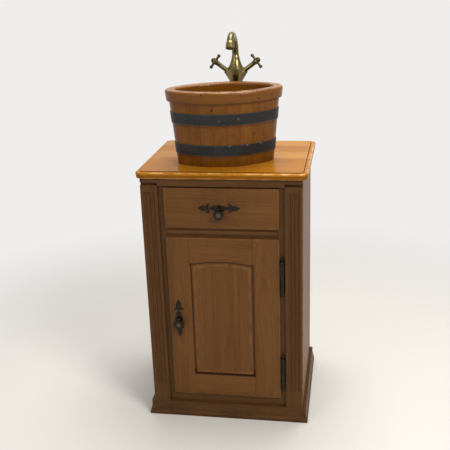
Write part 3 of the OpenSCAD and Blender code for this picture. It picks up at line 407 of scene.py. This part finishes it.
class Paint:
    """One material: its node tree and the calls that add nodes to it."""

    def __init__(self, name):
        self.material = bpy.data.materials.new(name)
        self.material.use_nodes = True
        self.tree = self.material.node_tree
        self.shader = self.tree.nodes["Principled BSDF"]

    def feed(self, socket, value):
        if isinstance(value, Value):
            self.tree.links.new(value.socket, socket)
        else:
            socket.default_value = value

    def add(self, kind, settings, sockets, out=0):
        node = self.tree.nodes.new("ShaderNode" + kind)
        for key, setting in settings.items():
            setattr(node, key, setting)
        for key, value in sockets.items():
            self.feed(node.inputs[key], value)
        return Value(self, node.outputs[out])

    def place(self):
        """The place in the object's own frame, in metres: across, deep and up."""
        spot = self.add("TexCoord", {}, {}, out="Object")
        return [self.add("SeparateXYZ", {}, {0: spot}, out=axis) for axis in range(3)]

    def point(self, x, y, z):
        return self.add("CombineXYZ", {}, {0: x, 1: y, 2: z})

    def noise(self, point, detail=2.0):
        """Cloud noise about 0.5, with one cloud to a unit of the point."""
        return self.add("TexNoise", {}, {"Vector": point, "Scale": 1.0, "Detail": detail})

    def clouds(self, spot, rates, detail=2.0):
        """Cloud noise with so many clouds to the metre: across, deep and up."""
        return self.noise(self.point(*[part * rate for part, rate in zip(spot, rates)]), detail)

    def specks(self, spot, rate, detail=2.0):
        return self.clouds(spot, (rate, rate, rate), detail)

    def chance(self, point):
        """A number from 0 to 1 that belongs to that point."""
        return self.add("TexWhiteNoise", {}, {"Vector": point})

    def mix(self, share, first, second):
        """first where share is 0 and second where it is 1, for colours."""
        return self.add("Mix", {"data_type": "RGBA"}, {0: share, 6: first, 7: second}, out=2)

    def either(self, share, first, second):
        """first where share is 0 and second where it is 1, for numbers."""
        return first + (second - first) * share

    def bump(self, height, distance, strength):
        sockets = {"Height": height, "Distance": distance, "Strength": strength}
        return self.add("Bump", {}, sockets)

    def finish(self, colour, roughness, metallic=0.0, coat=0.0, shine=0.5, normal=None):
        looks = {"Base Color": colour, "Roughness": roughness, "Metallic": metallic,
                 "Coat Weight": coat, "Coat Roughness": VARNISH_ROUGH, "Specular IOR Level": shine}
        if normal is not None:
            looks["Normal"] = normal
        for socket, value in looks.items():
            self.feed(self.shader.inputs[socket], value)
        return self.material


def distance(first, *others):
    """How far off a point is whose offsets along square axes are given."""
    square = first * first
    for other in others:
        square = square + other * other
    return square.root()


# Wood

def wood_finish(paint, wood, along, across, depth, seed, dark=None, wear_and_highlight=None, tone=None, dent=None):
    """A board's colour, gloss and relief, from its place in metres along and across the grain.

    dark masks grime, dark joints and painted shade, and the mask after it rubbed edges and painted
    highlights;
    tone lightens or darkens the whole board, and dent is a mask of what lies lower than the face, such
    as a joint."""
    shift = SEED_STEP * seed

    def grain(along_rate, across_rate, detail=2.0):
        point = paint.point(along * along_rate + shift, across * across_rate, depth * across_rate)
        return paint.noise(point, detail)

    sway = paint.noise(paint.point(along * 1.1 + shift, seed * 3.7, 0.0), detail=1.0)
    lift = paint.noise(paint.point(along * 1.6 + shift, seed * 5.1, 4.0), detail=1.0)
    side = across + (sway - 0.5) * RING_SWAY
    down = depth + HEART_DEPTH + (lift - 0.5) * RING_LIFT
    wobble = grain(9, 42, 3.0)
    ring = (distance(side, down) / RING_WIDTH + (wobble - 0.5) * 1.1).part()
    late = ring.rise(0.25, 0.92) * (1 - ring.rise(0.93, 1.0))
    streak = grain(2.6, 70, 3.0).rise(0.30, 0.74)
    broad = grain(1.3, 17).rise(0.35, 0.70)
    fibre = grain(16, 620)
    cloud = grain(2.5, 9)
    pore = grain(70, 1500, 1.0).rise(0.60, 0.72) * (1 - late * 0.7)
    figure = late * 0.34 + streak * 0.34 + broad * 0.22 + (fibre - 0.5) * 0.30
    shade = (figure * wood["figure"]).most(0.0).least(1.0)
    colour = paint.mix(shade, wood["early"], wood["late"])
    colour = paint.mix(pore * 0.50, colour, wood["pore"])
    colour = paint.mix(cloud.rise(0.35, 0.75) * 0.22, colour, wood["late"])
    if tone is not None:
        colour = paint.mix((tone - 0.5).most(0.0) * 1.2, colour, wood["wear_and_highlight"])
        colour = paint.mix((0.5 - tone).most(0.0) * 1.2, colour, wood["late"])
    if wear_and_highlight is not None:
        # Rubbed edges and painted highlights, broken up by grain noise
        rub_and_highlight = wear_and_highlight * grain(30, 60).rise(0.38, 0.62)
        colour = paint.mix(rub_and_highlight * wood["rub_and_highlight"], colour, wood["wear_and_highlight"])
    # Grime, dark joints and painted shade darken the colour here
    if dark is not None:
        colour = paint.mix(dark, colour, wood["pore"])
    rough = wood["rough"] + pore * 0.12 + (cloud - 0.5) * 0.10
    relief = (1 - pore) * 0.6 + fibre * 0.25 - late * 0.15
    if dent is not None:
        relief = relief - dent * 2.0
    normal = paint.bump(relief, PORE_DEPTH, wood["relief"])
    return paint.finish(colour, rough, coat=wood["coat"], shine=wood["shine"], normal=normal)


def rubbed_box(name):
    """The box whose edges hands and feet wear: a board's own, or that of what it is part of."""
    parts = [name]
    for whole in (SIDES, PLINTHS, DOOR_PARTS):
        if name in whole:
            parts = whole
    lows, highs = zip(*[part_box(part) for part in parts])
    return [min(axis) for axis in zip(*lows)], [max(axis) for axis in zip(*highs)]


def edge_rub(spot, low, high, width):
    """1 along the edges of a box, fading over width metres from them."""
    gaps = [(part - start).least(end - part) for part, start, end in zip(spot, low, high)]
    first, second, third = gaps
    near = first.least(second).most(first.most(second).least(third))
    return 1 - near.rise(width * 0.2, width)


def glued_boards(paint, across, width, seed):
    """Splits a panel into boards: the place across a board, its seed, its joints and its tone."""
    strips = across / width + STRIP_START + seed
    inside = strips.part()
    joint = 1 - (0.5 - abs(inside - 0.5)).rise(0.0003 / width, 0.0010 / width)
    own = paint.chance(paint.point(strips.floor(), seed * 2.3, 1.0))
    return (inside - 0.5) * width, own * 40 + seed, joint, 0.5 + (own - 0.5) * STRIP_TONE


def panel_gap(x, z):
    """How far a point of the door's face lies inside the panel's opening, in metres."""
    off = x - (SIGHT_LEFT + SIGHT_RIGHT) / 2
    arch = (ARCH_R ** 2 - off * off).most(0.0).root() + (SIGHT_TOP + ARCH_RISE - ARCH_R)
    top = arch.most(SIGHT_TOP)
    return (x - SIGHT_LEFT).least(SIGHT_RIGHT - x).least((z - SIGHT_LOW).least(top - z))


def smudge(paint, spot, place, reach, strength):
    """A soft patch of grime round a place across and up."""
    x, y, z = spot
    gap = distance(x - place[0], z - place[1])
    patch = paint.specks(spot, 35, 3.0)
    return (1 - gap.rise(reach * 0.25, reach)) * patch.rise(0.25, 0.75) * strength


def worktop_edge_shade(spot):
    """Painted shade in the quirk of the worktop's moulded edge, and painted shade on the lower part of
    its nose.
    """
    x, y, z = spot
    low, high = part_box("worktop")
    side = (abs(x) - (high[0] - TOP_CORNER_R)).most(0.0)
    front = (low[1] + TOP_CORNER_R - y).most(0.0)
    inward = TOP_CORNER_R - distance(side, front)
    # Painted shade on the nose's face, full below NOSE_LOW
    nose = (1 - z.rise(NOSE_LOW, NOSE_HIGH)) * 0.50
    return (inward.band(*QUIRK, QUIRK_FADE) * 0.75).most(nose)


def door_seam_shadow_and_hand_dirt(paint, spot):
    """Painted shadow in the seam round the panel, strongest at its foot, and dirt where hands take hold.
    """
    x, y, z = spot
    # Painted shadow in the seam round the panel, stronger towards its foot
    seam = panel_gap(x, z).band(*PANEL_SEAM, PANEL_SEAM_FADE)
    low_seam = 1 - z.rise(*LOW_SEAM)
    hands = smudge(paint, spot, DOOR_PULL, reach=0.085, strength=0.30)
    return (seam * (0.42 + low_seam * 0.5)).most(hands)


def board_dirt_and_shade(paint, name, spot):
    """Where a board is painted darker, as a mask: painted shade on the worktop's edge, painted shadow
    round the door's panel with hand dirt near its pull, dirt round the drawer's pull, and scuffs low on
    the plinth, stiles and sides.
    """
    if name == "worktop":
        return worktop_edge_shade(spot)
    if name in DOOR_PARTS:
        return door_seam_shadow_and_hand_dirt(paint, spot)
    if name == "drawer_front":
        return smudge(paint, spot, DRAWER_PULL, reach=0.110, strength=0.28)
    if name.startswith(("plinth", "corner", "side_panel")):
        scuff = paint.clouds(spot, (18, 18, 40), 3.0)
        return (1 - spot[2].rise(0.0, 0.07)) * scuff.rise(0.30, 0.72) * 0.55
    return None


def board_rub_and_highlight(name, spot):
    """Where a board is painted lighter, as a mask: edges rubbed light by wear, and painted highlights on
    the plinth's bead, the worktop's rounded arris and the edge of the panel's raised field.
    """
    if name in UNRUBBED:
        return None
    x, y, z = spot
    wear_and_highlight = edge_rub(spot, *rubbed_box(name), RUB_WIDTH)
    # The plinth gets a painted highlight along its bead
    if name in PLINTHS:
        return wear_and_highlight.most(z.band(*PLINTH_BEAD, MOULDING_FADE))
    # The worktop gets a painted highlight along its rounded arris
    if name == "worktop":
        return wear_and_highlight.most(z.band(*TOP_ROUND, TOP_ROUND_FADE))
    # The door's panel gets a painted highlight along its raised field's edge
    if name == "door_panel":
        return wear_and_highlight.most(panel_gap(x, z).band(*FIELD_EDGE, MOULDING_FADE))
    return wear_and_highlight


def board_wood(name, seed):
    wood, grain, strip = BOARDS[name]
    paint = Paint(name)
    spot = paint.place()
    low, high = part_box(name)
    along, across, depth = GRAINS[grain]
    if name in FLAT_BOARDS:
        across, depth = depth, across
    if name.startswith("side_panel"):
        across, depth = 1, 0
    wide = spot[across] - (low[across] + high[across]) / 2
    deep = spot[depth] - (low[depth] + high[depth]) / 2
    dark = board_dirt_and_shade(paint, name, spot)
    tone = None
    joint = None
    if strip is not None:
        wide, seed, joint, tone = glued_boards(paint, wide, strip, seed)
        dark = joint * JOINT_DARK if dark is None else dark.most(joint * JOINT_DARK)
    wear_and_highlight = board_rub_and_highlight(name, spot)
    return wood_finish(paint, wood, spot[along], wide, deep, seed, dark, wear_and_highlight, tone, joint)


# The tub's wood

def tub_coordinates(paint):
    """A point's stave, its share across it, the stave's width, how far outside the foot, how high."""
    x, y, z = paint.place()
    right = x - TUB_PLACE[0]
    back = y - TUB_PLACE[1]
    u = right * math.cos(TUB_TURN) + back * math.sin(TUB_TURN)
    v = back * math.cos(TUB_TURN) - right * math.sin(TUB_TURN)
    end_u = abs(u) - TUB_END_C
    at_end = (end_u - abs(v)).above(0.0)
    side_w = abs(v) + TUB_END_C
    side_reach = distance(u, side_w)
    end_reach = distance(end_u, v)
    side_share = u.turn_from(side_w) / QUARTER_TURN + 0.5
    end_share = v.turn_from(end_u) / QUARTER_TURN + 0.5
    outside = paint.either(at_end, side_reach - TUB_SIDE_R, end_reach - TUB_END_R)
    count = paint.either(at_end, side_share * STAVES_A_SIDE, end_share * STAVES_AN_END)
    side_width = side_reach * (QUARTER_TURN / STAVES_A_SIDE)
    end_width = end_reach * (QUARTER_TURN / STAVES_AN_END)
    width = paint.either(at_end, side_width, end_width)
    arc = v.above(0.0) * BACK_ARC + at_end * (END_ARC + u.above(0.0) * RIGHT_ARC)
    return count.floor() + arc, count.part(), width, outside, z - TUB_FOOT_Z


def round_marks(paint, places, size):
    """A mask of small round marks at the given places on the tub."""
    mask = None
    spot = paint.place()
    for place in places:
        gap = distance(*[part - centre for part, centre in zip(spot, place)])
        mark = 1 - gap.rise(size * 0.5, size)
        mask = mark if mask is None else mask.most(mark)
    return mask


def stave_wood(name):
    paint = Paint(name)
    stave, share, width, outside, up = tub_coordinates(paint)
    own = paint.chance(paint.point(stave, 3.0, 1.0))
    joint = 1 - ((0.5 - abs(share - 0.5)) * width).rise(0.0004, 0.0016)
    # Painted shade at the staves' foot, mottled, and painted shade under each hoop
    foot_mottle = paint.noise(paint.point(stave * 0.7 + share, up * 16, outside * 20), detail=3.0)
    foot = (1 - up.rise(0.0, FOOT_SHADE_TOP)) * foot_mottle.rise(0.25, 0.70) * 0.45
    shade = up.band(*LOWER_HOOP_SHADE, SHADE_FADE).most(up.band(*UPPER_HOOP_SHADE, SHADE_FADE))
    knots = round_marks(paint, KNOTS, KNOT_SIZE)
    dark = (joint * 0.17).most(foot).most(shade * 0.35).most(knots * 0.8)
    tone = 0.40 + own * 0.20
    wide = (share - 0.5) * width
    return wood_finish(paint, TUB_WOOD, up, wide, outside, own * 50 + 3, dark, tone=tone, dent=joint)


def rim_wood(name):
    paint = Paint(name)
    stave, share, width, outside, up = tub_coordinates(paint)
    run = stave * 0.045 + share * width
    # Painted shade at the rim's lower edge, mottled, and a painted highlight on its crown
    grime = paint.noise(paint.point(run * 25, outside * 60, up * 60), detail=3.0)
    seam = (1 - up.rise(*RIM_SEAM)) * grime.rise(0.25, 0.65) * 0.55
    dark = (round_marks(paint, NICKS, NICK_SIZE) * 0.85).most(seam)
    return wood_finish(paint, RIM_WOOD, run, up, outside, 5.0, dark, wear_and_highlight=up.rise(*RIM_CROWN))


# Metals and plastic

def old_brass(name):
    """Antique brass, tarnished in clouds, with painted shade darkening the two handles."""
    paint = Paint(name)
    x, y, z = spot = paint.place()
    cloud = paint.specks(spot, 38, 3.0)
    speck = paint.specks(spot, 420)
    # Painted shade on the two handles
    handles = abs(x - TAP_X).rise(0.040, 0.056) * z.above(TAP_ARM_Z)
    dull_and_shade = cloud.rise(0.40, 0.72) * 0.50 + speck.rise(0.52, 0.75) * 0.20 + handles * 0.55
    dull_and_shade = dull_and_shade.least(1.0)
    colour = paint.mix(dull_and_shade, rgb(124, 111, 73), rgb(62, 54, 35))
    normal = paint.bump(speck, 0.0002, 0.08)
    return paint.finish(colour, 0.25 + dull_and_shade * 0.12, metallic=1.0, normal=normal)


def dark_metal(name):
    """Blackened iron, lightened in specks by wear, with a painted highlight on the middle of each drop.
    """
    paint = Paint(name)
    x, y, z = spot = paint.place()
    cloud = paint.specks(spot, 160, 3.0)
    speck = paint.specks(spot, 900)
    drop_highlight = None
    # Painted highlight on the middle of each drop's face
    for across, up in DROP_CENTRES:
        gap = distance(x - across, z - up)
        patch = (1 - gap.rise(0.0030, 0.0100)) * (DROP_FACE_Y - y).above(0.0)
        drop_highlight = patch if drop_highlight is None else drop_highlight.most(patch)
    wear_and_highlight = cloud.rise(0.50, 0.74) * 0.4 + speck.rise(0.55, 0.80) * 0.25 + drop_highlight * 0.55
    wear_and_highlight = wear_and_highlight.least(1.0)
    colour = paint.mix(wear_and_highlight, rgb(38, 32, 25), rgb(104, 92, 72))
    normal = paint.bump(speck + cloud, 0.0003, 0.30)
    return paint.finish(colour, 0.42 - wear_and_highlight * 0.12, metallic=0.85, normal=normal)


def hoop_iron(name):
    """Blued strap iron with a little rust, rubbed bright along both edges of each hoop."""
    paint = Paint(name)
    stave, share, width, outside, up = tub_coordinates(paint)
    spot = paint.place()
    dent = paint.specks(spot, 60)
    speck = paint.specks(spot, 420, 3.0)
    cloud = paint.clouds(spot, (14, 14, 30))
    drawn = paint.noise(paint.point(stave * 0.5 + share * 0.5, up * 700, outside * 100))
    rust = cloud.rise(0.60, 0.76) * speck.rise(0.46, 0.62)
    low = (up - LOWER_HOOP_UP).least(LOWER_HOOP_UP + HOOP_H - up)
    high = (up - UPPER_HOOP_UP).least(UPPER_HOOP_UP + HOOP_H - up)
    rubbed = (1 - abs(low.most(high)).rise(0.0006, 0.0022)) * speck.rise(0.35, 0.60)
    colour = paint.mix(cloud.rise(0.35, 0.70), rgb(28, 28, 28), rgb(38, 39, 41))
    colour = paint.mix(rust * 0.40, colour, rgb(72, 50, 38))
    colour = paint.mix(rubbed * 0.6, colour, rgb(96, 94, 92))
    rough = 0.46 + speck * 0.12 + rust * 0.2 - rubbed * 0.12
    normal = paint.bump(dent * 0.6 + speck * 0.15 + drawn * 0.1, 0.0005, 0.30)
    return paint.finish(colour, rough, metallic=0.35, shine=0.4, normal=normal)


def rivet_steel(name):
    paint = Paint(name)
    speck = paint.specks(paint.place(), 600)
    colour = paint.mix(speck.rise(0.42, 0.66), rgb(88, 86, 81), rgb(52, 50, 47))
    return paint.finish(colour, 0.34 + speck * 0.12, metallic=0.8)


def trap_plastic(name):
    paint = Paint(name)
    haze = paint.clouds(paint.place(), (40, 40, 25), 3.0)
    colour = paint.mix(haze.rise(0.40, 0.75) * 0.35, rgb(226, 225, 220), rgb(204, 200, 190))
    return paint.finish(colour, 0.34 + haze * 0.10)


def pipe_copper(name):
    paint = Paint(name)
    tarnish = paint.clouds(paint.place(), (90, 90, 45), 3.0).rise(0.42, 0.70)
    colour = paint.mix(tarnish * 0.7, rgb(190, 118, 84), rgb(112, 66, 46))
    return paint.finish(colour, 0.24 + tarnish * 0.20, metallic=1.0)


# What each finish covers: rivet_steel only covers added pieces

COVERED = {
    hoop_iron: ("basin_hoop_upper", "basin_hoop_lower"),
    old_brass: ("basin_waste", "tap_body", "tap_spout", "tap_handle_left", "tap_handle_right",
                "tap_fixing"),
    dark_metal: ("drawer_pull_plate", "drawer_pull_drop", "door_pull_plate", "door_pull_drop",
                 "hinge_upper_frame_half", "hinge_upper_door_half",
                 "hinge_lower_frame_half", "hinge_lower_door_half"),
    trap_plastic: ("waste_trap", "waste_pipe"),
    pipe_copper: ("supply_pipe_left", "supply_pipe_right"),
    rivet_steel: (),
}
FINISHES = {finish: finish(finish.__name__) for finish in COVERED}


def dress(node, material):
    data = NODES[node].data
    data.materials.clear()
    data.materials.append(material)


def dress_everything():
    for seed, name in enumerate(BOARDS, start=1):
        dress(name, board_wood(name, seed))
    dress("basin_staves", stave_wood("basin_staves"))
    dress("basin_rim", rim_wood("basin_rim"))
    for finish, names in COVERED.items():
        for name in names:
            dress(name, FINISHES[finish])


def ease_edges(name, width):
    """A small round along a flat-sided board's edges, as sanding and years of use leave it."""
    node = NODES[name]
    weld = node.modifiers.new("weld", "WELD")
    weld.merge_threshold = WELD_GAP
    bevel = node.modifiers.new("eased", "BEVEL")
    bevel.width = width
    bevel.segments = 2
    bevel.limit_method = "ANGLE"
    bevel.angle_limit = EASED_FROM
    node.modifiers.new("shading", "WEIGHTED_NORMAL")


# Added pieces: straps, rivets, nails, screws and rings

def make_piece(name, body, finish, build):
    shape = bmesh.new()
    build(shape)
    bmesh.ops.recalc_face_normals(shape, faces=shape.faces)
    mesh = bpy.data.meshes.new(name)
    shape.to_mesh(mesh)
    shape.free()
    mesh.materials.append(FINISHES[finish])
    for face in mesh.polygons:
        face.use_smooth = True
    mesh.set_sharp_from_angle(angle=SHARP_FROM)
    piece = bpy.data.objects.new(name, mesh)
    bpy.context.scene.collection.objects.link(piece)
    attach(piece, body)


def round_loop(shape, place, turn, radius, height, steps):
    if radius == 0:
        return [shape.verts.new(place + turn @ Vector((0, 0, height)))]
    loop = []
    for step in range(steps):
        angle = 2 * math.pi * step / steps
        spot = Vector((radius * math.cos(angle), radius * math.sin(angle), height))
        loop.append(shape.verts.new(place + turn @ spot))
    return loop


def add_turned(shape, profile, place, axis, steps=32):
    """A turned form: its profile gives radius and height along the axis, from centre to centre.

    A profile that never reaches the centre is closed on itself, as a ring."""
    middle = Vector(place)
    turn = Vector(axis).to_track_quat("Z", "Y").to_matrix()
    loops = [round_loop(shape, middle, turn, radius, height, steps) for radius, height in profile]
    pairs = list(zip(loops, loops[1:]))
    if profile[0][0] > 0:
        pairs.append((loops[-1], loops[0]))
    for low, high in pairs:
        for step in range(steps):
            after = (step + 1) % steps
            around = [(low, step), (low, after), (high, after), (high, step)]
            corners = [loop[number % len(loop)] for loop, number in around]
            shape.faces.new(list(dict.fromkeys(corners)))


def domed(radius, height):
    """The profile of a domed head that stands on a face and reaches a little into it."""
    return [(0, -HEAD_SINK), (radius, -HEAD_SINK), (radius, height * 0.2),
            (radius * 0.90, height * 0.55), (radius * 0.66, height * 0.85),
            (radius * 0.34, height * 0.97), (0, height)]


def tub_point(angle, outside, up):
    """A point on the tub's front: its angle from the middle, how far outside the foot, how high."""
    reach = TUB_SIDE_R + outside
    u = reach * math.sin(angle)
    v = TUB_END_C - reach * math.cos(angle)
    x = TUB_PLACE[0] + u * math.cos(TUB_TURN) - v * math.sin(TUB_TURN)
    y = TUB_PLACE[1] + u * math.sin(TUB_TURN) + v * math.cos(TUB_TURN)
    return Vector((x, y, TUB_FOOT_Z + up))


def tub_outward(angle):
    """The way straight out of the tub's front side at that angle, tilted by the staves' lean."""
    level = tub_point(angle, 1.0, 0.0) - tub_point(angle, 0.0, 0.0)
    return (level - Vector((0, 0, TUB_LEAN))).normalized()


def hoop_lap(name, hoop_up, start, end):
    """The outer end of a hoop's strap, where it laps over its own beginning."""
    low = hoop_up + LAP_INSET
    high = low + HOOP_H - 2 * LAP_INSET
    foot = low * TUB_LEAN + HOOP_PROUD
    head = high * TUB_LEAN + HOOP_PROUD

    def build(shape):
        sections = []
        for step in range(LAP_STEPS + 1):
            share = step / LAP_STEPS
            angle = math.radians(start + (end - start) * share)
            thick = LAP_THICK * min(1.0, share * 5 + 0.02)
            soft = min(LAP_ROUND, thick * 0.4)
            outline = [(foot - LAP_SINK, low), (foot + thick - soft, low), (foot + thick, low + soft),
                       (head + thick, high - soft), (head + thick - soft, high), (head - LAP_SINK, high)]
            sections.append([shape.verts.new(tub_point(angle, out, up)) for out, up in outline])
        count = len(sections[0])
        for before, after in zip(sections, sections[1:]):
            for corner in range(count):
                follow = (corner + 1) % count
                shape.faces.new([before[corner], after[corner], after[follow], before[follow]])
        shape.faces.new(sections[0])
        shape.faces.new(list(reversed(sections[-1])))

    make_piece(name, "cabinet", hoop_iron, build)


def hoop_rivets(name, rivets):
    """Domed rivet heads on a hoop."""
    def build(shape):
        for degrees, up, proud in rivets:
            angle = math.radians(degrees)
            place = tub_point(angle, up * TUB_LEAN + HOOP_PROUD + proud, up)
            add_turned(shape, domed(*RIVET_HEAD), place, tub_outward(angle), steps=24)

    make_piece(name, "cabinet", rivet_steel, build)


def plate_nails(name, body, places):
    """Round-headed nails in the end rings of a pull's back plate."""
    def build(shape):
        for x, z in places:
            add_turned(shape, domed(*NAIL_HEAD), (x, PLATE_FACE_Y, z), (0, -1, 0), steps=24)

    make_piece(name, body, dark_metal, build)


def handle_cap(name, body, side):
    """The domed cap that closes a handle's hub."""
    along = Vector((side * math.cos(TAP_ARM_RISE), 0, math.sin(TAP_ARM_RISE)))
    start = Vector((TAP_X, TAP_Y, TAP_ARM_Z)) + along * HUB_END

    def build(shape):
        add_turned(shape, CAP_PROFILE, start, along)

    make_piece(name, body, old_brass, build)


def outlet_aerator():
    """The aerator in the spout's outlet: a ring with a stepped strainer inside it."""
    strainer = [(0, AERATOR_FOOT), (STRAINER_R, AERATOR_FOOT)]
    for lap in range(STRAINER_RINGS, 0, -1):
        height = STRAINER_HIGH if lap % 2 else STRAINER_LOW
        radius = lap * STRAINER_PITCH
        strainer += [(radius, height), (radius - STRAINER_STEP, height)]
    strainer.append((0, STRAINER_HIGH))

    def build(shape):
        add_turned(shape, AERATOR_RING, OUTLET_ROOT, OUTLET_WAY)
        add_turned(shape, strainer, OUTLET_ROOT, OUTLET_WAY)

    make_piece("outlet_aerator", "cabinet", old_brass, build)


def nut_ribs():
    """Grip ribs round the trap's union nut."""
    def build(shape):
        for number in range(NUT_RIBS):
            angle = 2 * math.pi * number / NUT_RIBS
            out = Vector((math.cos(angle), math.sin(angle), 0))
            across = Vector((-out.y, out.x, 0))
            ends = []
            for height in RIB_ENDS:
                end = NUT_CENTRE + Vector((0, 0, height))
                ends.append([shape.verts.new(end + across * a + out * r) for a, r in RIB_SECTION])
            low, high = ends
            for corner in range(len(low)):
                follow = (corner + 1) % len(low)
                shape.faces.new([low[corner], low[follow], high[follow], high[corner]])
            shape.faces.new(list(reversed(low)))
            shape.faces.new(high)

    make_piece("trap_nut_ribs", "cabinet", trap_plastic, build)


def back_screws():
    """Screw heads that hold the thin back panel to the bottom board and the drawer runners."""
    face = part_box("back_panel")[1][1]

    def build(shape):
        for x, z in LOW_SCREWS + RUNNER_SCREWS:
            add_turned(shape, domed(*SCREW_HEAD), (x, face, z), (0, 1, 0), steps=20)

    make_piece("back_screws", "cabinet", dark_metal, build)


def add_pieces():
    hoop_lap("hoop_lap_upper", UPPER_HOOP_UP, *UPPER_LAP)
    hoop_lap("hoop_lap_lower", LOWER_HOOP_UP, *LOWER_LAP)
    hoop_rivets("hoop_rivets_upper", UPPER_RIVETS)
    hoop_rivets("hoop_rivets_lower", LOWER_RIVETS)
    plate_nails("drawer_plate_nails", "drawer", DRAWER_NAILS)
    plate_nails("door_plate_nails", "door", DOOR_NAILS)
    handle_cap("handle_cap_left", "handle_left", -1)
    handle_cap("handle_cap_right", "handle_right", 1)
    outlet_aerator()
    nut_ribs()
    back_screws()


# Floor and light

def lay_floor():
    edge = FLOOR_HALF
    corners = [(-edge, -edge, 0), (edge, -edge, 0), (edge, edge, 0), (-edge, edge, 0)]
    mesh = bpy.data.meshes.new("floor")
    mesh.from_pydata(corners, [], [(0, 1, 2, 3)])
    floor = bpy.data.objects.new("floor", mesh)
    bpy.context.scene.collection.objects.link(floor)
    floor.location.z = -FLOOR_DROP
    paint = Paint("pale_floor")
    paint.finish(rgb(222, 220, 216), 0.7, shine=0.2)
    x, y, z = paint.place()
    far = distance(x, y).rise(FADE_FROM, FADE_TO)
    straight = paint.add("LightPath", {}, {}, out="Is Camera Ray")
    mirrored = paint.add("LightPath", {}, {}, out="Is Glossy Ray")
    glow = paint.add("Emission", {}, {"Color": PAPER_TINT, "Strength": PAPER})
    lit = Value(paint, paint.shader.outputs[0])
    surface = paint.add("MixShader", {}, {0: far * straight.most(mirrored), 1: lit, 2: glow})
    paint.feed(paint.tree.nodes["Material Output"].inputs["Surface"], surface)
    mesh.materials.append(paint.material)


def light_scene():
    world = bpy.data.worlds.new("studio")
    bpy.context.scene.world = world
    world.use_nodes = True
    tree = world.node_tree
    background = tree.nodes["Background"]
    path = tree.nodes.new("ShaderNodeLightPath")
    seen = tree.nodes.new("ShaderNodeMath")
    seen.operation = "MAXIMUM"
    tree.links.new(path.outputs["Is Camera Ray"], seen.inputs[0])
    tree.links.new(path.outputs["Is Glossy Ray"], seen.inputs[1])
    strength = tree.nodes.new("ShaderNodeMapRange")
    strength.inputs["To Min"].default_value = FILL_LIGHT
    strength.inputs["To Max"].default_value = PAPER
    tree.links.new(seen.outputs[0], strength.inputs["Value"])
    tree.links.new(strength.outputs[0], background.inputs["Strength"])
    background.inputs["Color"].default_value = PAPER_TINT
    for name, settings in LAMPS.items():
        add_lamp(name, *settings)


set_camera()
dress_everything()
for board in BOARDS:
    if board not in SHAPED_BOARDS:
        ease_edges(board, EASED_EDGE)
add_pieces()
lay_floor()
light_scene()
bpy.context.scene.view_settings.view_transform = "Standard"
